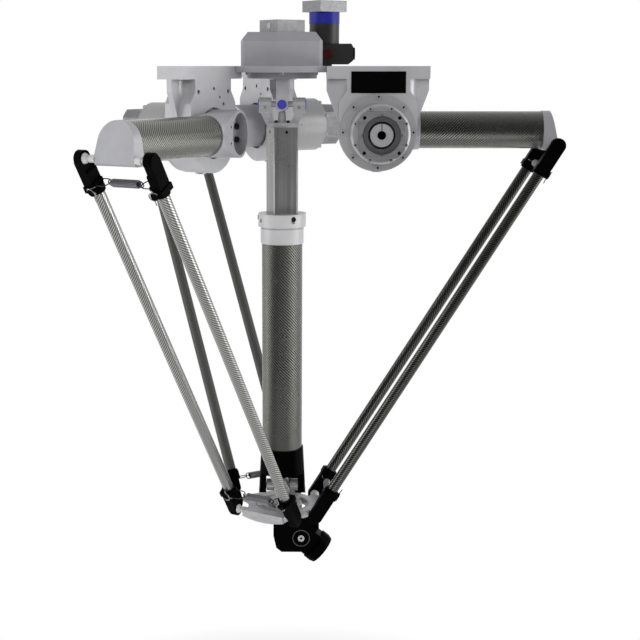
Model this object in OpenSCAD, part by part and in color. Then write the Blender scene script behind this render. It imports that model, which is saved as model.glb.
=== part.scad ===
// Delta robot with five axes: three carbon arms on planetary gearboxes, a triangular platform,
// a telescopic turning shaft with a cardan joint at each end, and a tilting tool wrist.
// Millimetres, +Z up. The origin lies on the robot axis, in the plane the robot is hung from.
// Arm 1 points along +X, arm 2 and arm 3 follow at 120 and 240 degrees.

/* [Layout] */
// Distance from the robot axis to each shoulder axis
shoulder_r = 184; // [180:1:200]
// Depth of the shoulder axes below the mounting plane
shoulder_drop = 124; // [120:1:135]

/* [Upper arms] */
// Length from the shoulder axis to the elbow ball axis
upper_arm = 350; // [320:5:400]
// Depth of the elbow ball axis below the axis of the arm tube
elbow_drop = 27; // [25:1:29]
// Outer diameter of the carbon arm tube
arm_tube_d = 73; // [70:1:76]
// Wall of the carbon arm tube
arm_tube_wall = 3; // [2:0.5:4]
// Distance from the shoulder axis to the end of the arm tube
arm_tube_start = 87; // [82:1:95]
// Outer radius of the arm hub round the shoulder axis
hub_r = 44; // [42:1:47]
// Radius of the open cup in the arm hub
hub_cup_r = 39; // [34:1:40]

/* [Forearms] */
// Length of each forearm between its ball centres
forearm = 886; // [860:2:920]
// Distance between the two rods of a forearm
rod_pitch = 135; // [130:1:142]
// Diameter of the carbon rods
rod_d = 22; // [18:1:24]
// Diameter of the joint balls
ball_d = 20; // [18:1:22]
// Distance from a ball centre to the springs across the forearm
spring_drop = 48; // [44:1:48]
// Outer diameter of the coil springs
spring_d = 14.6; // [12:0.2:16]

/* [Drive modules] */
// Width of the mounting flange of a module
flange_w = 196; // [190:2:210]
// Thickness of the mounting flange
flange_t = 24; // [20:1:28]
// Outer radius of the round gearbox seat
seat_r = 75; // [74:1:80]
// Diameter of the gearbox cylinder
gearbox_d = 111; // [104:1:114]
// Width across the flats of a motor adapter
adapter_w = 84; // [80:1:90]
// Motor shaft diameter
motor_shaft_d = 16; // [14:1:19]
// Pitch circle of the motor screws
motor_pcd = 90; // [86:1:92]
// Pilot diameter of the motor
motor_pilot_d = 70; // [60:1:72]

/* [Turning shaft] */
// Depth of the upper cardan centre below the mounting plane
cardan_drop = 74; // [72:1:78]
// Width across the flats of the sliding profile
profile_w = 52; // [48:1:52]
// Outer diameter of the carbon shaft tube
shaft_tube_d = 82; // [82:1:86]
// Wall of the carbon shaft tube
shaft_tube_wall = 3; // [2.5:0.5:3.5]
// Depth of the top of the sliding collar at rest
collar_top = 290; // [280:5:310]
// Length of the profile that reaches into the carbon tube
profile_reach = 310; // [280:5:340]

/* [Platform and wrist] */
// Distance from the robot axis to the platform ball axes
platform_r = 69; // [68:1:76]
// Thickness of the platform plate
platform_t = 14; // [12:1:16]
// Sideways offset of the tilting axis from the robot axis
tilt_offset = 40; // [38:1:42]
// Depth of the tilting axis below the platform balls
tilt_drop = 63; // [62:1:68]
// Tilt of the tool head away from straight down, at rest
head_tilt = 50; // [40:1:55]
// Pitch circle of the tool screws
tool_pcd = 50; // [44:1:52]

/* [Top drives] */
// Half width of the turning gear housing
housing_half = 78; // [76:1:84]
// Height of the turning gear housing above the mounting plane
housing_h = 64; // [60:1:70]
// Turn of the two top motor adapters about their own axes
adapter_turn = 34; // [0:1:45]
// Diameter of the tilting gearbox
tilt_gear_d = 60; // [56:1:61]

/* [Clearances] */
// Radial clearance of a ball in its socket
ball_gap = 0.3; // [0.2:0.05:0.5]
// Clearance between pieces that slide or turn past each other
slide_gap = 0.3; // [0.2:0.05:0.5]
// Radial clearance of glued and seated round pieces
seat_gap = 0.1; // [0.05:0.01:0.15]
// Radial clearance of shafts that run in a bore
run_gap = 0.06; // [0.03:0.01:0.08]

/* [Hidden] */
$fn = 96;
eps = 0.01;            // overshoot of cutting bodies

// Colours
cast = [0.72, 0.72, 0.75];
milled = [0.80, 0.80, 0.82];
machined = [0.62, 0.62, 0.64];
carbon = [0.20, 0.20, 0.19];
black = [0.03, 0.03, 0.035];
steel = [0.55, 0.55, 0.56];
white = [0.90, 0.90, 0.88];
blue = [0.16, 0.16, 0.55];

// Arm geometry
arm_tube_r = arm_tube_d / 2;
arm_tube_bore = arm_tube_r - arm_tube_wall;
elbow_r = shoulder_r + upper_arm;          // elbow balls, from the robot axis
elbow_z = -shoulder_drop - elbow_drop;
ball_r = ball_d / 2;
rod_r = rod_d / 2;
rod_y = rod_pitch / 2;
forearm_lean = asin((elbow_r - platform_r) / forearm);
platform_z = elbow_z - forearm * cos(forearm_lean);   // platform ball centres

// Arm hub, measured from the shoulder axis
hub_back = -38;                            // face against the gearbox
hub_front = 19;                            // inclined face, above the shoulder axis
hub_floor = -10;                           // floor of the cup
hub_bolt_pcd = 63;
hub_neck_r = arm_tube_r + 2;               // hub where the tube begins
hub_slope = atan((hub_neck_r - hub_front) / arm_tube_start);
hub_spigot = 30;                           // plug glued into the tube

// Elbow cap, measured from the elbow ball axis and the tube axis
cap_in = 22;
cap_top_out = 6;
cap_low_out = 5;
cap_r = arm_tube_r + 1;
cap_side = cap_r * cos(10) + 0.15;         // where the straight flanks leave the round top
cap_side_z = cap_r * sin(10);
cap_foot_half = 42;
cap_foot_z = -elbow_drop - 11;
cap_foot_round = 7;
cap_mouth = 14;                            // depth of the tube seat

// Sockets, measured from the ball centre along the rod
cup_r = ball_r + 4.4;
cup_out = ball_r + 2.5;
cup_in_y = 3;
shank_t = 19;
shank_end = 50;
collar_r = 15.4;
collar_end = 66;
collar_flat_end = 62;
boss_shift = 2;
boss_drop = 58;
rod_seat = 16;
shank_top = 16;
shank_round = 9;
bail_half = 10.5;                          // legs of the wire bail, from the rod axis
bail_reach = 33.5;                         // bow of the bail, towards the other rod
bail_wire_r = 1;
bail_seat = 4;
lug_t = 4.5;                               // lug that holds the two legs of the bail
lug_half = 4;
boss_r = 7.5;
boss_out = 19;
stud_r = 6.8;
stud_neck_r = 4.6;
stud_shoulder = 14;
spring_wire_d = 2;
spring_body = 56;
hook_r = 6.3;

// Module bracket, measured from the shoulder axis, t is across the arm
seat_front = -98;
seat_back = -40;
rib_front = -77;
rib_back = -66;
neck_half = 60;
wing_straight = 46;                        // wings run straight down to this depth
wing_low_half = seat_r + 1;
wing_low = shoulder_drop - 19;
flare_depth = 22;
gearbox_r = gearbox_d / 2;
gearbox_spigot_r = 57.9;
gearbox_plate = 10;
gearbox_plate_r = seat_r - 2;
gearbox_end = -184;
adapter_end = -222;
adapter_corner_r = adapter_w / 2 + 8;
pilot_depth = 7;
hub_in_r = 21;
hub_in_gap_r = 25.2;
hub_in_face = adapter_end + 5;
hub_in_len = 27;
pocket_depth = 14;                         // pocket of the hub in the gearbox
journal_r = 10;                            // input shaft behind each clamp hub
journal_seat = 16;
end_screw_in = 5.2;                        // screws of the gearbox end, from its rim
base_screw_r = 92;
slit_w = 1.6;
plug_r = 10;
plug_h = 10;
plate_half = 52;                           // nameplate
plate_from = 10;
plate_to = shoulder_drop - gearbox_plate_r - 0.4;
screw_r = 3.3;

// Turning shaft
yoke_ear_w = 23;
ear_t = 11;
ear_y = 20;                                // inner face of the upper ears
side_ear_x = 21;                           // inner face of the lower ears of the upper cardan
side_ear_out = 46;
side_arm_in = 26;                          // arms of that yoke where they leave the ears
side_arm_out = 42.5;
side_arm_z = -17;
side_ear_half = 13;
bush_len = 9;
pin_r = 6;
pin_gap = 0.1;
cross_half = 11;
bush_r = 9.3;
yoke_disc_z = 13;                          // top of the yoke disc, below the mounting plane
yoke_disc_t = 13;
yoke_disc_r = 28;
yoke_base = cardan_drop + 45;              // top end of the profile
yoke_base_t = 9;
base_half = 29;
profile_corner = 6;
profile_end = collar_top + profile_reach;
shaft_tube_r = shaft_tube_d / 2;
shaft_tube_bore = shaft_tube_r - shaft_tube_wall;
collar_ring_r = shaft_tube_r + 7;
collar_ring_t = 26;
collar_skirt_r = shaft_tube_r + 2.5;
collar_skirt = 30;
collar_gap = 4;
tube_top = collar_top + collar_ring_t;
tube_lift = 116;                           // end of the tube above the platform balls
tube_end = -platform_z - tube_lift;
profile_turn = 21;

// Lower cardan
low_cardan = platform_z + 44;
fork_top = -tube_end + 12;
fork_sleeve_r = shaft_tube_r + 2.6;
fork_foot_r = shaft_tube_r + 8;
fork_web = low_cardan + 30;
fork_wide = fork_foot_r + 1;
fork_round = 12;
fork_ear_in = 33.5;
fork_ear_half = 17;
fork_low = low_cardan - fork_ear_half - 3;
cross_collar_r = 12.5;
yoke_ear_in = 15;
yoke_ear_t = 11;

// Platform
plate_top = platform_z + 4;
plate_low = plate_top - platform_t;
plate_r = platform_r + 2;
bar_half = rod_y - 19.5;
bar_belly = 6;                             // the bars are deeper in the middle by this much
belly_half = bar_half - 1;
belly_r = (belly_half * belly_half + bar_belly * bar_belly) / (2 * bar_belly);
bar_w = 22;
bar_boss_r = 4.5;
bearing_r = 38;
bearing_bore = 20;
slot_in = 41.5;
slot_out = 53;
groove_t = 1.2;

// Wrist
tilt_z = platform_z - tilt_drop;
wrist_top = plate_low - bar_belly - 2;
wrist_left = -18;
wrist_right = tilt_offset + 37;
wrist_low = tilt_z - 31;
cheek_in = 22;
cheek_t = 8;
head_r = 26;
head_clear = head_r + 1.5;
head_half = cheek_in - slide_gap;
tool_r = 31.5;
tool_body_r = 33.5;
tool_in = 36;
tool_t = 21;
tool_edge = 7;                             // length of the cone behind the tool face
tool_pilot_d = 31.5;
tool_pilot_depth = 6;
tilt_pin_r = 7;

// Top drives
base_r = 115;
base_t = 12;
base_step_r = 68.5;                        // step under the flange, round the turning yoke
base_step = 12;
chamfer_w = 13;
chamfer_h = 17;
housing_corner = 45;
turn_box_w = 64;
turn_box_h = 24;
tilt_x = 84;
tilt_y = 76;
block_left = tilt_x - 23;
block_right = tilt_x + 58;
block_half = 23;
block_z = 3;
block_h = 41;
tilt_tube_h = 39;
band_h = 23;
tilt_cap_w = 64;
tilt_cap_h = 22;
top_hub_r = 17;
top_hub_gap_r = 20;
top_journal = 12;
turn_pocket = 18;
tilt_pocket = 4;
yoke_journal_r = 20;
yoke_journal_h = 28;
tilt_shaft_d = 14;

// ---- helpers ----

// Turns a piece from the frame of arm 1 to arm n
module at_arm(n) rotate([0, 0, 120 * (n - 1)]) children();

// Extrudes a drawing in the X-Z plane from y0 to y1
module slab(y0, y1) translate([0, y1, 0]) rotate([90, 0, 0]) linear_extrude(y1 - y0) children();

// Extrudes a drawing in the Y-Z plane from x0 to x1
module side_slab(x0, x1) translate([x0, 0, 0]) rotate([90, 0, 90]) linear_extrude(x1 - x0) children();

// Cylinder along Y from y0 to y1
module y_rod(r, y0, y1) translate([0, y1, 0]) rotate([90, 0, 0]) cylinder(r = r, h = y1 - y0);

// Cylinder along X from x0 to x1
module x_rod(r, x0, x1) translate([x0, 0, 0]) rotate([0, 90, 0]) cylinder(r = r, h = x1 - x0);

// Copies evenly spaced on a circle in the X-Z plane
module ring_y(r, n, start = 0) for (k = [0 : n - 1]) rotate([0, start + k * 360 / n, 0])
    translate([r, 0, 0]) children();

// Copies evenly spaced on a circle in the X-Y plane
module ring_z(r, n, start = 0) for (k = [0 : n - 1]) rotate([0, 0, start + k * 360 / n])
    translate([r, 0, 0]) children();

// Square with rounded corners, made of true arcs
module rounded_square(w, r) {
    square([w, w - 2 * r], center = true);
    square([w - 2 * r, w], center = true);
    for (x = [-1, 1], y = [-1, 1]) translate([x * (w / 2 - r), y * (w / 2 - r)]) circle(r);
}

module at_shoulder() translate([shoulder_r, 0, -shoulder_drop]) children();

// ---- drive modules ----

// Round gearbox seat with its neck, seen along the shoulder axis
module seat_outline() {
    translate([0, -shoulder_drop]) circle(seat_r);
    translate([-seat_r, -shoulder_drop]) square([2 * seat_r, shoulder_drop - wing_straight - flare_depth]);
    polygon([[-seat_r, -wing_straight - flare_depth], [-neck_half, -wing_straight], [-neck_half, 0],
             [neck_half, 0], [neck_half, -wing_straight], [seat_r, -wing_straight - flare_depth]]);
}

// Wings that spread the neck to the full flange, seen along the shoulder axis
module wing_outline() {
    polygon([[-flange_w / 2, 0], [-flange_w / 2, -wing_straight], [-wing_low_half, -wing_low],
             [wing_low_half, -wing_low], [flange_w / 2, -wing_straight], [flange_w / 2, 0]]);
}

// Concave fillets between the wings and the neck, in plan
module wing_fillets(r) {
    for (x = [-1, 1], y = [[rib_back, 1], [rib_front, -1]])
        translate([x * neck_half, y[0]]) corner_fillet(x, y[1], r);
}

// Fills the inner corner that opens towards the signs of x and y
module corner_fillet(x, y, r) {
    difference() {
        translate([x > 0 ? 0 : -r, y > 0 ? 0 : -r]) square(r);
        translate([x * r, y * r]) circle(r);
    }
}

module bracket() {
    color(cast) difference() {
        union() {
            translate([shoulder_r, 0, 0]) {
                translate([-flange_w / 2, seat_front, -flange_t])
                    cube([flange_w, seat_back - seat_front, flange_t]);
                slab(seat_front, seat_back) seat_outline();
                slab(rib_front, rib_back) wing_outline();
                intersection() {
                    translate([0, 0, -wing_low]) linear_extrude(wing_low) wing_fillets(17);
                    slab(seat_front, seat_back) wing_outline();
                }
            }
            translate([shoulder_r, (rib_front + rib_back) / 2, -shoulder_drop - seat_r - 2.5])
                cylinder(r = plug_r, h = plug_h);
        }
        at_shoulder() {
            y_rod(gearbox_spigot_r + seat_gap, seat_front - 1, seat_back - 8);
            y_rod(hub_r + 4, seat_back - 9, seat_back + 1);
        }
        bracket_holes();
        translate([shoulder_r, (seat_front + seat_back) / 2, 0]) for (x = [-1, 1])
            translate([x * (flange_w / 2 - 18), 0, -flange_t - 1]) cylinder(r = 6.5, h = flange_t + 2);
    }
}

// Tapped holes in the arm side face of the bracket
module bracket_holes() {
    for (p = [[49, -47, 4.2], [-2, -41.5, 3.4], [-51, -47, 4.2], [-21, -57.5, 2.6], [-34, -70.5, 3.4]])
        translate([shoulder_r + p[0], 0, p[1]]) y_rod(p[2], seat_back - 14, seat_back + 1);
}

// Planetary gearbox: plate, screwed flange, cylinder and the spigot in the bracket
module gearbox() {
    color(machined) at_shoulder() difference() {
        union() {
            y_rod(gearbox_plate_r, seat_front - gearbox_plate, seat_front);
            y_rod(gearbox_r, gearbox_end + 4, seat_front - gearbox_plate);
            translate([0, gearbox_end + 4, 0]) rotate([90, 0, 0])
                cylinder(r1 = gearbox_r, r2 = gearbox_r - 4, h = 4);
            y_rod(gearbox_spigot_r, seat_front, seat_back - 8.1);
        }
        y_rod(hub_in_gap_r, gearbox_end - 1, gearbox_end + pocket_depth);
        y_rod(journal_r + run_gap, gearbox_end, gearbox_end + pocket_depth + journal_seat);
        y_rod(hub_r - 3 + slide_gap, seat_back - 28, seat_back);
        ring_y(seat_r - 8, 8) y_rod(screw_r, seat_front - gearbox_plate - 1, seat_front + 1);
        ring_y(gearbox_r - end_screw_in, 8, 22.5) y_rod(2.6, gearbox_end - 1, gearbox_end + 10);
    }
}

// Square adapter plate with a pilot recess for the motor, its face towards -Y
module adapter_body(w, corner_r, h) {
    difference() {
        intersection() {
            translate([-w / 2, -h, -w / 2]) cube([w, h, w]);
            y_rod(corner_r, -h - 1, 1);
        }
        y_rod(hub_in_gap_r, -h - 1, 1);
        y_rod(min(motor_pilot_d, w - 10) / 2, -h - 1, -h + pilot_depth);
        ring_y(min(motor_pilot_d, w - 10) / 2, 4) y_rod(3, -h - 1, -h + pilot_depth);
    }
}

module motor_adapter() {
    difference() {
        adapter_body(adapter_w, adapter_corner_r, gearbox_end - adapter_end);
        ring_y(motor_pcd / 2, 4, 45) y_rod(screw_r, -45, 1);
    }
}

// Small square adapters of the two top drives, face up
module top_adapter(w, h) {
    rotate([0, 0, adapter_turn]) difference() {
        translate([-w / 2, -w / 2, 0]) cube([w, w, h]);
        translate([0, 0, -1]) cylinder(r = top_hub_gap_r, h = h + 2);
        translate([0, 0, h - 4]) cylinder(r = w / 2 - 7, h = 5);
        ring_z(w / 2 + 3, 4, 45) translate([0, 0, -1]) cylinder(r = 2.6, h = h + 2);
    }
}

module motor_adapters() {
    color(milled) {
        for (n = [1 : 3]) at_arm(n) at_shoulder() translate([0, gearbox_end, 0]) motor_adapter();
        translate([0, 0, housing_h]) top_adapter(turn_box_w, turn_box_h);
        translate([tilt_x, tilt_y, block_z + block_h + tilt_tube_h + band_h])
            top_adapter(tilt_cap_w, tilt_cap_h);
    }
}

// Clamp hub that grips the motor shaft, slit along its top, face towards -Y, on its input shaft
module clamp_hub(r, bore, h, shaft) {
    difference() {
        union() {
            y_rod(r, -h, 0);
            y_rod(journal_r, -1, shaft);
        }
        y_rod(bore, -h - 1, -1);
        translate([-slit_w / 2, -h - 1, 0]) cube([slit_w, h * 0.7, r + 1]);
    }
}

module input_hub() {
    color(machined) at_shoulder() translate([0, hub_in_face + hub_in_len, 0])
        clamp_hub(hub_in_r, motor_shaft_d / 2, hub_in_len,
                  gearbox_end + pocket_depth + journal_seat - slide_gap - hub_in_face - hub_in_len);
}

module nameplate() {
    color(black) translate([shoulder_r, 0, 0]) slab(seat_front - 1, seat_front)
        translate([-plate_half, -plate_to]) square([2 * plate_half, plate_to - plate_from]);
}

// Hexagon socket cap screw, head towards +Z and seated at the origin
module cap_screw(r, depth) {
    difference() {
        union() {
            cylinder(r = r * 1.7, h = r * 1.8);
            translate([0, 0, -depth]) cylinder(r = r - seat_gap, h = depth + eps);
        }
        translate([0, 0, r * 0.8]) cylinder(r = r * 0.9, h = r * 2, $fn = 6);
    }
}

module base_screws() {
    color(steel) {
        for (n = [1 : 3]) at_arm(n) at_shoulder() {
            ring_y(seat_r - 8, 8) translate([0, seat_front - gearbox_plate, 0]) rotate([90, 0, 0])
                cap_screw(screw_r - 0.6, gearbox_plate - 1);
            ring_y(gearbox_r - end_screw_in, 8, 22.5) translate([0, gearbox_end, 0]) rotate([90, 0, 0])
                cap_screw(2.2, 9);
        }
        ring_z(base_screw_r, 8) translate([0, 0, -base_t]) rotate([180, 0, 0])
            cap_screw(screw_r - 0.6, base_t - 1);
    }
}

// ---- top of the robot ----

// Round flange under the turning gear
module base_flange() {
    color(cast) difference() {
        union() {
            translate([0, 0, -base_t]) cylinder(r = base_r, h = base_t);
            translate([0, 0, -base_t - base_step]) cylinder(r = base_step_r, h = base_step + 1);
        }
        for (n = [1 : 3]) at_arm(n) translate([shoulder_r - flange_w / 2 - slide_gap,
            seat_front - slide_gap, -flange_t - 1])
            cube([flange_w, seat_back - seat_front + 2 * slide_gap, flange_t + 2]);
        ring_z(base_screw_r, 8) translate([0, 0, -base_t - 1]) cylinder(r = screw_r - 0.6, h = base_t + 2);
        translate([0, 0, -base_t - 1]) cylinder(r = yoke_journal_r + 4, h = base_t + 2);
        translate([0, 0, -base_t - base_step - 1]) cylinder(r = ear_y + ear_t + 3, h = base_step + 1);
    }
}

// Cast gear housing with mitred chamfers round its top
module turn_housing() {
    color(cast) difference() {
        intersection() {
            slab(-housing_half, housing_half) housing_outline();
            side_slab(-housing_half, housing_half) housing_outline();
            linear_extrude(housing_h) housing_plan();
        }
        translate([0, 0, -1]) cylinder(r = yoke_journal_r + run_gap, h = yoke_journal_h + 1);
        translate([0, 0, housing_h - turn_pocket]) cylinder(r = top_hub_gap_r, h = turn_pocket + 1);
        translate([0, 0, housing_h - turn_pocket - top_journal])
            cylinder(r = journal_r + run_gap, h = top_journal + 1);
    }
}

module housing_outline() {
    polygon([[-housing_half, 0], [-housing_half, housing_h - chamfer_h],
             [-housing_half + chamfer_w, housing_h], [housing_half - chamfer_w, housing_h],
             [housing_half, housing_h - chamfer_h], [housing_half, 0]]);
}

module housing_plan() {
    polygon([[-housing_half + 6, -housing_half], [housing_half - 6, -housing_half],
        [housing_half, -housing_half + 6],
             [housing_half, housing_half - housing_corner], [housing_half - housing_corner, housing_half],
             [-housing_half + housing_corner, housing_half], [-housing_half, housing_half - housing_corner],
             [-housing_half, -housing_half + 6]]);
}

// Right angle gear behind the housing, its output towards the robot axis
module angle_gear() {
    color([0.24, 0.24, 0.24]) translate([0, tilt_y, 0]) difference() {
        union() {
            slab(-block_half, block_half) polygon([[block_left, block_z], [block_right - 10, block_z],
                [block_right, block_z + 8], [block_right, block_z + block_h - 7],
                [block_right - 4, block_z + block_h], [block_left, block_z + block_h]]);
            translate([block_left + 4, -block_half - 5, 0]) cube([34, 2 * block_half + 10, block_z + 4]);
        }
        translate([tilt_x, 0, block_z + block_h - 22]) cylinder(r = 20, h = 23);
        for (x = [block_left + 9, block_left + 33], y = [-1, 1])
            translate([x, y * (block_half + 2.2), -1]) cylinder(r = 1.6, h = 20);
    }
}

module angle_gear_disc() {
    color([0.25, 0.02, 0.02]) translate([tilt_x + 7, 0, block_z + block_h / 2])
        y_rod(10, tilt_y - block_half - 1.5, tilt_y - block_half);
}

module angle_gear_cap() {
    color(black) translate([0, tilt_y, block_z + block_h / 2 + 1]) x_rod(12, block_right, block_right + 4);
}

module tilt_gearbox() {
    color([0.30, 0.30, 0.29]) translate([tilt_x, tilt_y, block_z + block_h]) difference() {
        union() {
            cylinder(r = tilt_gear_d / 2, h = tilt_tube_h);
            translate([0, 0, -21]) cylinder(r = 19.9, h = 22);
        }
        translate([0, 0, tilt_tube_h - tilt_pocket]) cylinder(r = top_hub_gap_r, h = tilt_pocket + 1);
        translate([0, 0, tilt_tube_h - tilt_pocket - top_journal])
            cylinder(r = journal_r + run_gap, h = top_journal + 1);
    }
}

module tilt_band() {
    color(blue) translate([tilt_x, tilt_y, block_z + block_h + tilt_tube_h]) difference() {
        cylinder(r = tilt_gear_d / 2 + 0.6, h = band_h);
        translate([0, 0, -1]) cylinder(r = top_hub_gap_r, h = band_h + 2);
    }
}

// The two clamp hubs of the top drives, face up
module turn_hub() {
    color(machined) translate([0, 0, housing_h - turn_pocket + 2]) rotate([-90, 0, 0])
        clamp_hub(top_hub_r, motor_shaft_d / 2, turn_pocket + turn_box_h - 6, top_journal + 2 - slide_gap);
}

module tilt_hub() {
    color(machined) translate([tilt_x, tilt_y, block_z + block_h + tilt_tube_h - tilt_pocket + 1])
        rotate([-90, 0, 0])
        clamp_hub(top_hub_r, tilt_shaft_d / 2, tilt_pocket + band_h + tilt_cap_h - 5,
            top_journal + 1 - slide_gap);
}

// ---- upper arms ----

// Hub of an arm: round boss on the shoulder axis that leans over into the tube seat
module arm_hub() {
    color(cast) at_shoulder() difference() {
        union() {
            intersection() {
                slab(hub_back, hub_neck_r + 2) hub_outline();
                rotate([0, 90, 0]) translate([0, 0, -hub_r - 10])
                    cylinder(r1 = hub_r + 14, r2 = hub_neck_r, h = hub_r + 10 + arm_tube_start);
                hub_front_cut();
            }
            y_rod(hub_r, hub_back, hub_back + 10);
            x_rod(arm_tube_bore - seat_gap, arm_tube_start - 2, arm_tube_start + hub_spigot);
            y_rod(hub_r - 3, seat_back - 26, hub_back + 1);
        }
        y_rod(hub_cup_r, hub_floor, hub_neck_r + 3);
        ring_y(hub_bolt_pcd / 2, 8, 22.5) y_rod(4.6, hub_floor - 8, hub_floor + 1);
        for (z = [-1, 1]) translate([arm_tube_start / 2 - 3, 0, z * 14.7]) rotate([0, 0, -hub_slope])
            y_rod(2.6, hub_front, hub_front + 20);
        x_rod(arm_tube_bore - 9, arm_tube_start + 6, arm_tube_start + hub_spigot + 1);
    }
}

module hub_outline() {
    circle(hub_r);
    polygon([[0, -hub_r], [arm_tube_start, -hub_neck_r], [arm_tube_start, hub_neck_r], [0, hub_r]]);
}

// Everything behind the inclined front face of the hub
module hub_front_cut() {
    reach = arm_tube_start + hub_r;
    translate([0, hub_front, 0]) rotate([0, 0, hub_slope]) translate([-reach, -reach, -reach])
        cube([2 * reach, reach, 2 * reach]);
}

module arm_tube() {
    color(carbon) translate([0, 0, -shoulder_drop]) difference() {
        x_rod(arm_tube_r, shoulder_r + arm_tube_start, elbow_r - cap_in + cap_mouth - seat_gap);
        x_rod(arm_tube_bore, shoulder_r + arm_tube_start - 1, elbow_r);
    }
}

// Bell shaped end cap with a foot bar that carries the two balls
module elbow_cap() {
    color(cast) translate([elbow_r, 0, -shoulder_drop]) difference() {
        intersection() {
            slab(-cap_foot_half - 1, cap_foot_half + 1) difference() {
                polygon([[-cap_in, cap_foot_z], [cap_low_out, cap_foot_z], [cap_low_out, -18],
                         [-cap_top_out, cap_r], [-cap_top_out, cap_r + 1], [-cap_in, cap_r + 1]]);
                translate([cap_low_out, cap_foot_z]) corner_fillet(-1, 1, cap_foot_round);
            }
            side_slab(-cap_in, cap_low_out) cap_front();
        }
        x_rod(arm_tube_r + seat_gap, -cap_in - 1, -cap_in + cap_mouth);
    }
}

// Round top that runs into straight flanks and a foot, seen along the tube
module cap_front() {
    intersection() {
        union() {
            circle(cap_r);
            translate([-cap_foot_half - 1, cap_foot_z - 1])
                square([2 * cap_foot_half + 2, cap_side_z - cap_foot_z + 1]);
        }
        polygon([[-cap_side, cap_r + 1], [-cap_side, cap_side_z], [-cap_foot_half, cap_foot_z + 12],
                 [-cap_foot_half, cap_foot_z], [cap_foot_half, cap_foot_z],
                 [cap_foot_half, cap_foot_z + 12], [cap_side, cap_side_z], [cap_side, cap_r + 1]]);
    }
}

// Ball on a shouldered stud, ball at the origin, stud towards -Y
module ball_stud(reach) {
    difference() {
        sphere(r = ball_r);
        y_rod(3, ball_r - 1.5, ball_r + 1);
    }
    y_rod(stud_neck_r, -reach, 0);
    y_rod(stud_r, -reach, -min(stud_shoulder, reach - 2));
}

module ball_pair(reach) {
    for (s = [0, 1]) mirror([0, s, 0]) translate([0, rod_y, 0]) ball_stud(reach);
}

module elbow_balls() {
    color(white) translate([elbow_r, 0, elbow_z]) ball_pair(rod_y - cap_foot_half);
}

module platform_balls() {
    color(white) translate([platform_r, 0, platform_z]) ball_pair(rod_y - bar_half - slide_gap);
}

// ---- forearms ----

// Frame of a forearm: origin between the elbow balls, the rods run along -Z
module at_forearm() translate([elbow_r, 0, elbow_z]) rotate([0, forearm_lean, 0]) children();

module both_rods() for (s = [0, 1]) mirror([0, s, 0]) translate([0, rod_y, 0]) children();

module both_ends() {
    children();
    translate([0, 0, -forearm]) mirror([0, 0, 1]) children();
}

module rods() {
    color(carbon) at_forearm() both_rods()
        translate([0, 0, -forearm + collar_end - rod_seat])
            cylinder(r = rod_r, h = forearm - 2 * (collar_end - rod_seat));
}

// Open cup that snaps over the ball, with a shank, a collar for the rod, a wire boss and a lug
module socket() {
    difference() {
        union() {
            y_rod(cup_r, -cup_in_y, cup_out - 2);
            translate([0, cup_out, 0]) rotate([90, 0, 0]) cylinder(r1 = cup_r - 2.5, r2 = cup_r, h = 2 + eps);
            side_slab(-cup_r + 0.5, cup_r - 0.5) shank_outline();
            translate([0, 0, -collar_flat_end]) linear_extrude(collar_flat_end - shank_end) {
                circle(collar_r);
                translate([-collar_r, 0]) square([2 * collar_r, collar_r - 0.5]);
            }
            translate([0, 0, -collar_end]) cylinder(r = collar_r - 1, h = collar_end - shank_end);
            translate([0, -boss_shift, -boss_drop]) x_rod(boss_r, collar_r - 4, boss_out);
            translate([-lug_half - bail_half + 2, cup_out - shank_t - lug_t, -spring_drop - lug_half])
                cube([2 * (lug_half + bail_half - 2), lug_t + 1, 2 * lug_half]);
        }
        sphere(r = ball_r + ball_gap);
        y_rod(ball_r + ball_gap, -cup_out - 12, 0);
        translate([0, 0, -collar_end - 1]) cylinder(r = rod_r + seat_gap, h = rod_seat + 1 + seat_gap);
        for (x = [-1, 1]) translate([x * bail_half, 0, -spring_drop])
            y_rod(bail_wire_r + seat_gap, -shank_t, cup_out - shank_t + bail_seat + seat_gap);
    }
}

// Shank seen from the other rod's side, its inner top corner rounded
module shank_outline() {
    difference() {
        translate([cup_out - shank_t, -shank_end - 2]) square([shank_t, shank_end + 2 - shank_top]);
        translate([cup_out - shank_t, -shank_top]) corner_fillet(1, -1, shank_round);
    }
    translate([-cup_in_y, -shank_end]) square([cup_out + cup_in_y, shank_end]);
}

module sockets() {
    color(black) at_forearm() both_ends() both_rods() socket();
}

// Coil spring across the forearm, an open hook at either end
module spring() {
    difference() {
        y_rod(spring_d / 2, -spring_body / 2, spring_body / 2);
        y_rod(spring_d / 2 - spring_wire_d, -spring_body / 2 - 1, spring_body / 2 + 1);
    }
    for (s = [0, 1]) mirror([0, s, 0]) translate([0, spring_hook_y(), 0]) rotate([0, 90, 0])
        rotate_extrude() translate([hook_r, 0]) circle(r = spring_wire_d / 2, $fn = 24);
}

// Each hook reaches round the bow of its bail
function spring_hook_y() = rod_y - bail_reach + bail_wire_r + spring_wire_d / 2 + seat_gap - hook_r;

// Wire bail in the lug of a socket: two legs and a half round bow
module bail() {
    bow_y = bail_half - bail_reach;
    for (x = [-1, 1]) translate([x * bail_half, 0, 0])
        y_rod(bail_wire_r, bow_y, cup_out - shank_t + bail_seat);
    translate([0, bow_y, 0]) rotate([0, 0, 180]) rotate_extrude(angle = 180) translate([bail_half, 0])
        circle(r = bail_wire_r, $fn = 24);
}

module springs() {
    color(steel) at_forearm() both_ends() translate([0, 0, -spring_drop]) {
        spring();
        both_rods() bail();
    }
}

// ---- turning shaft ----

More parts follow.
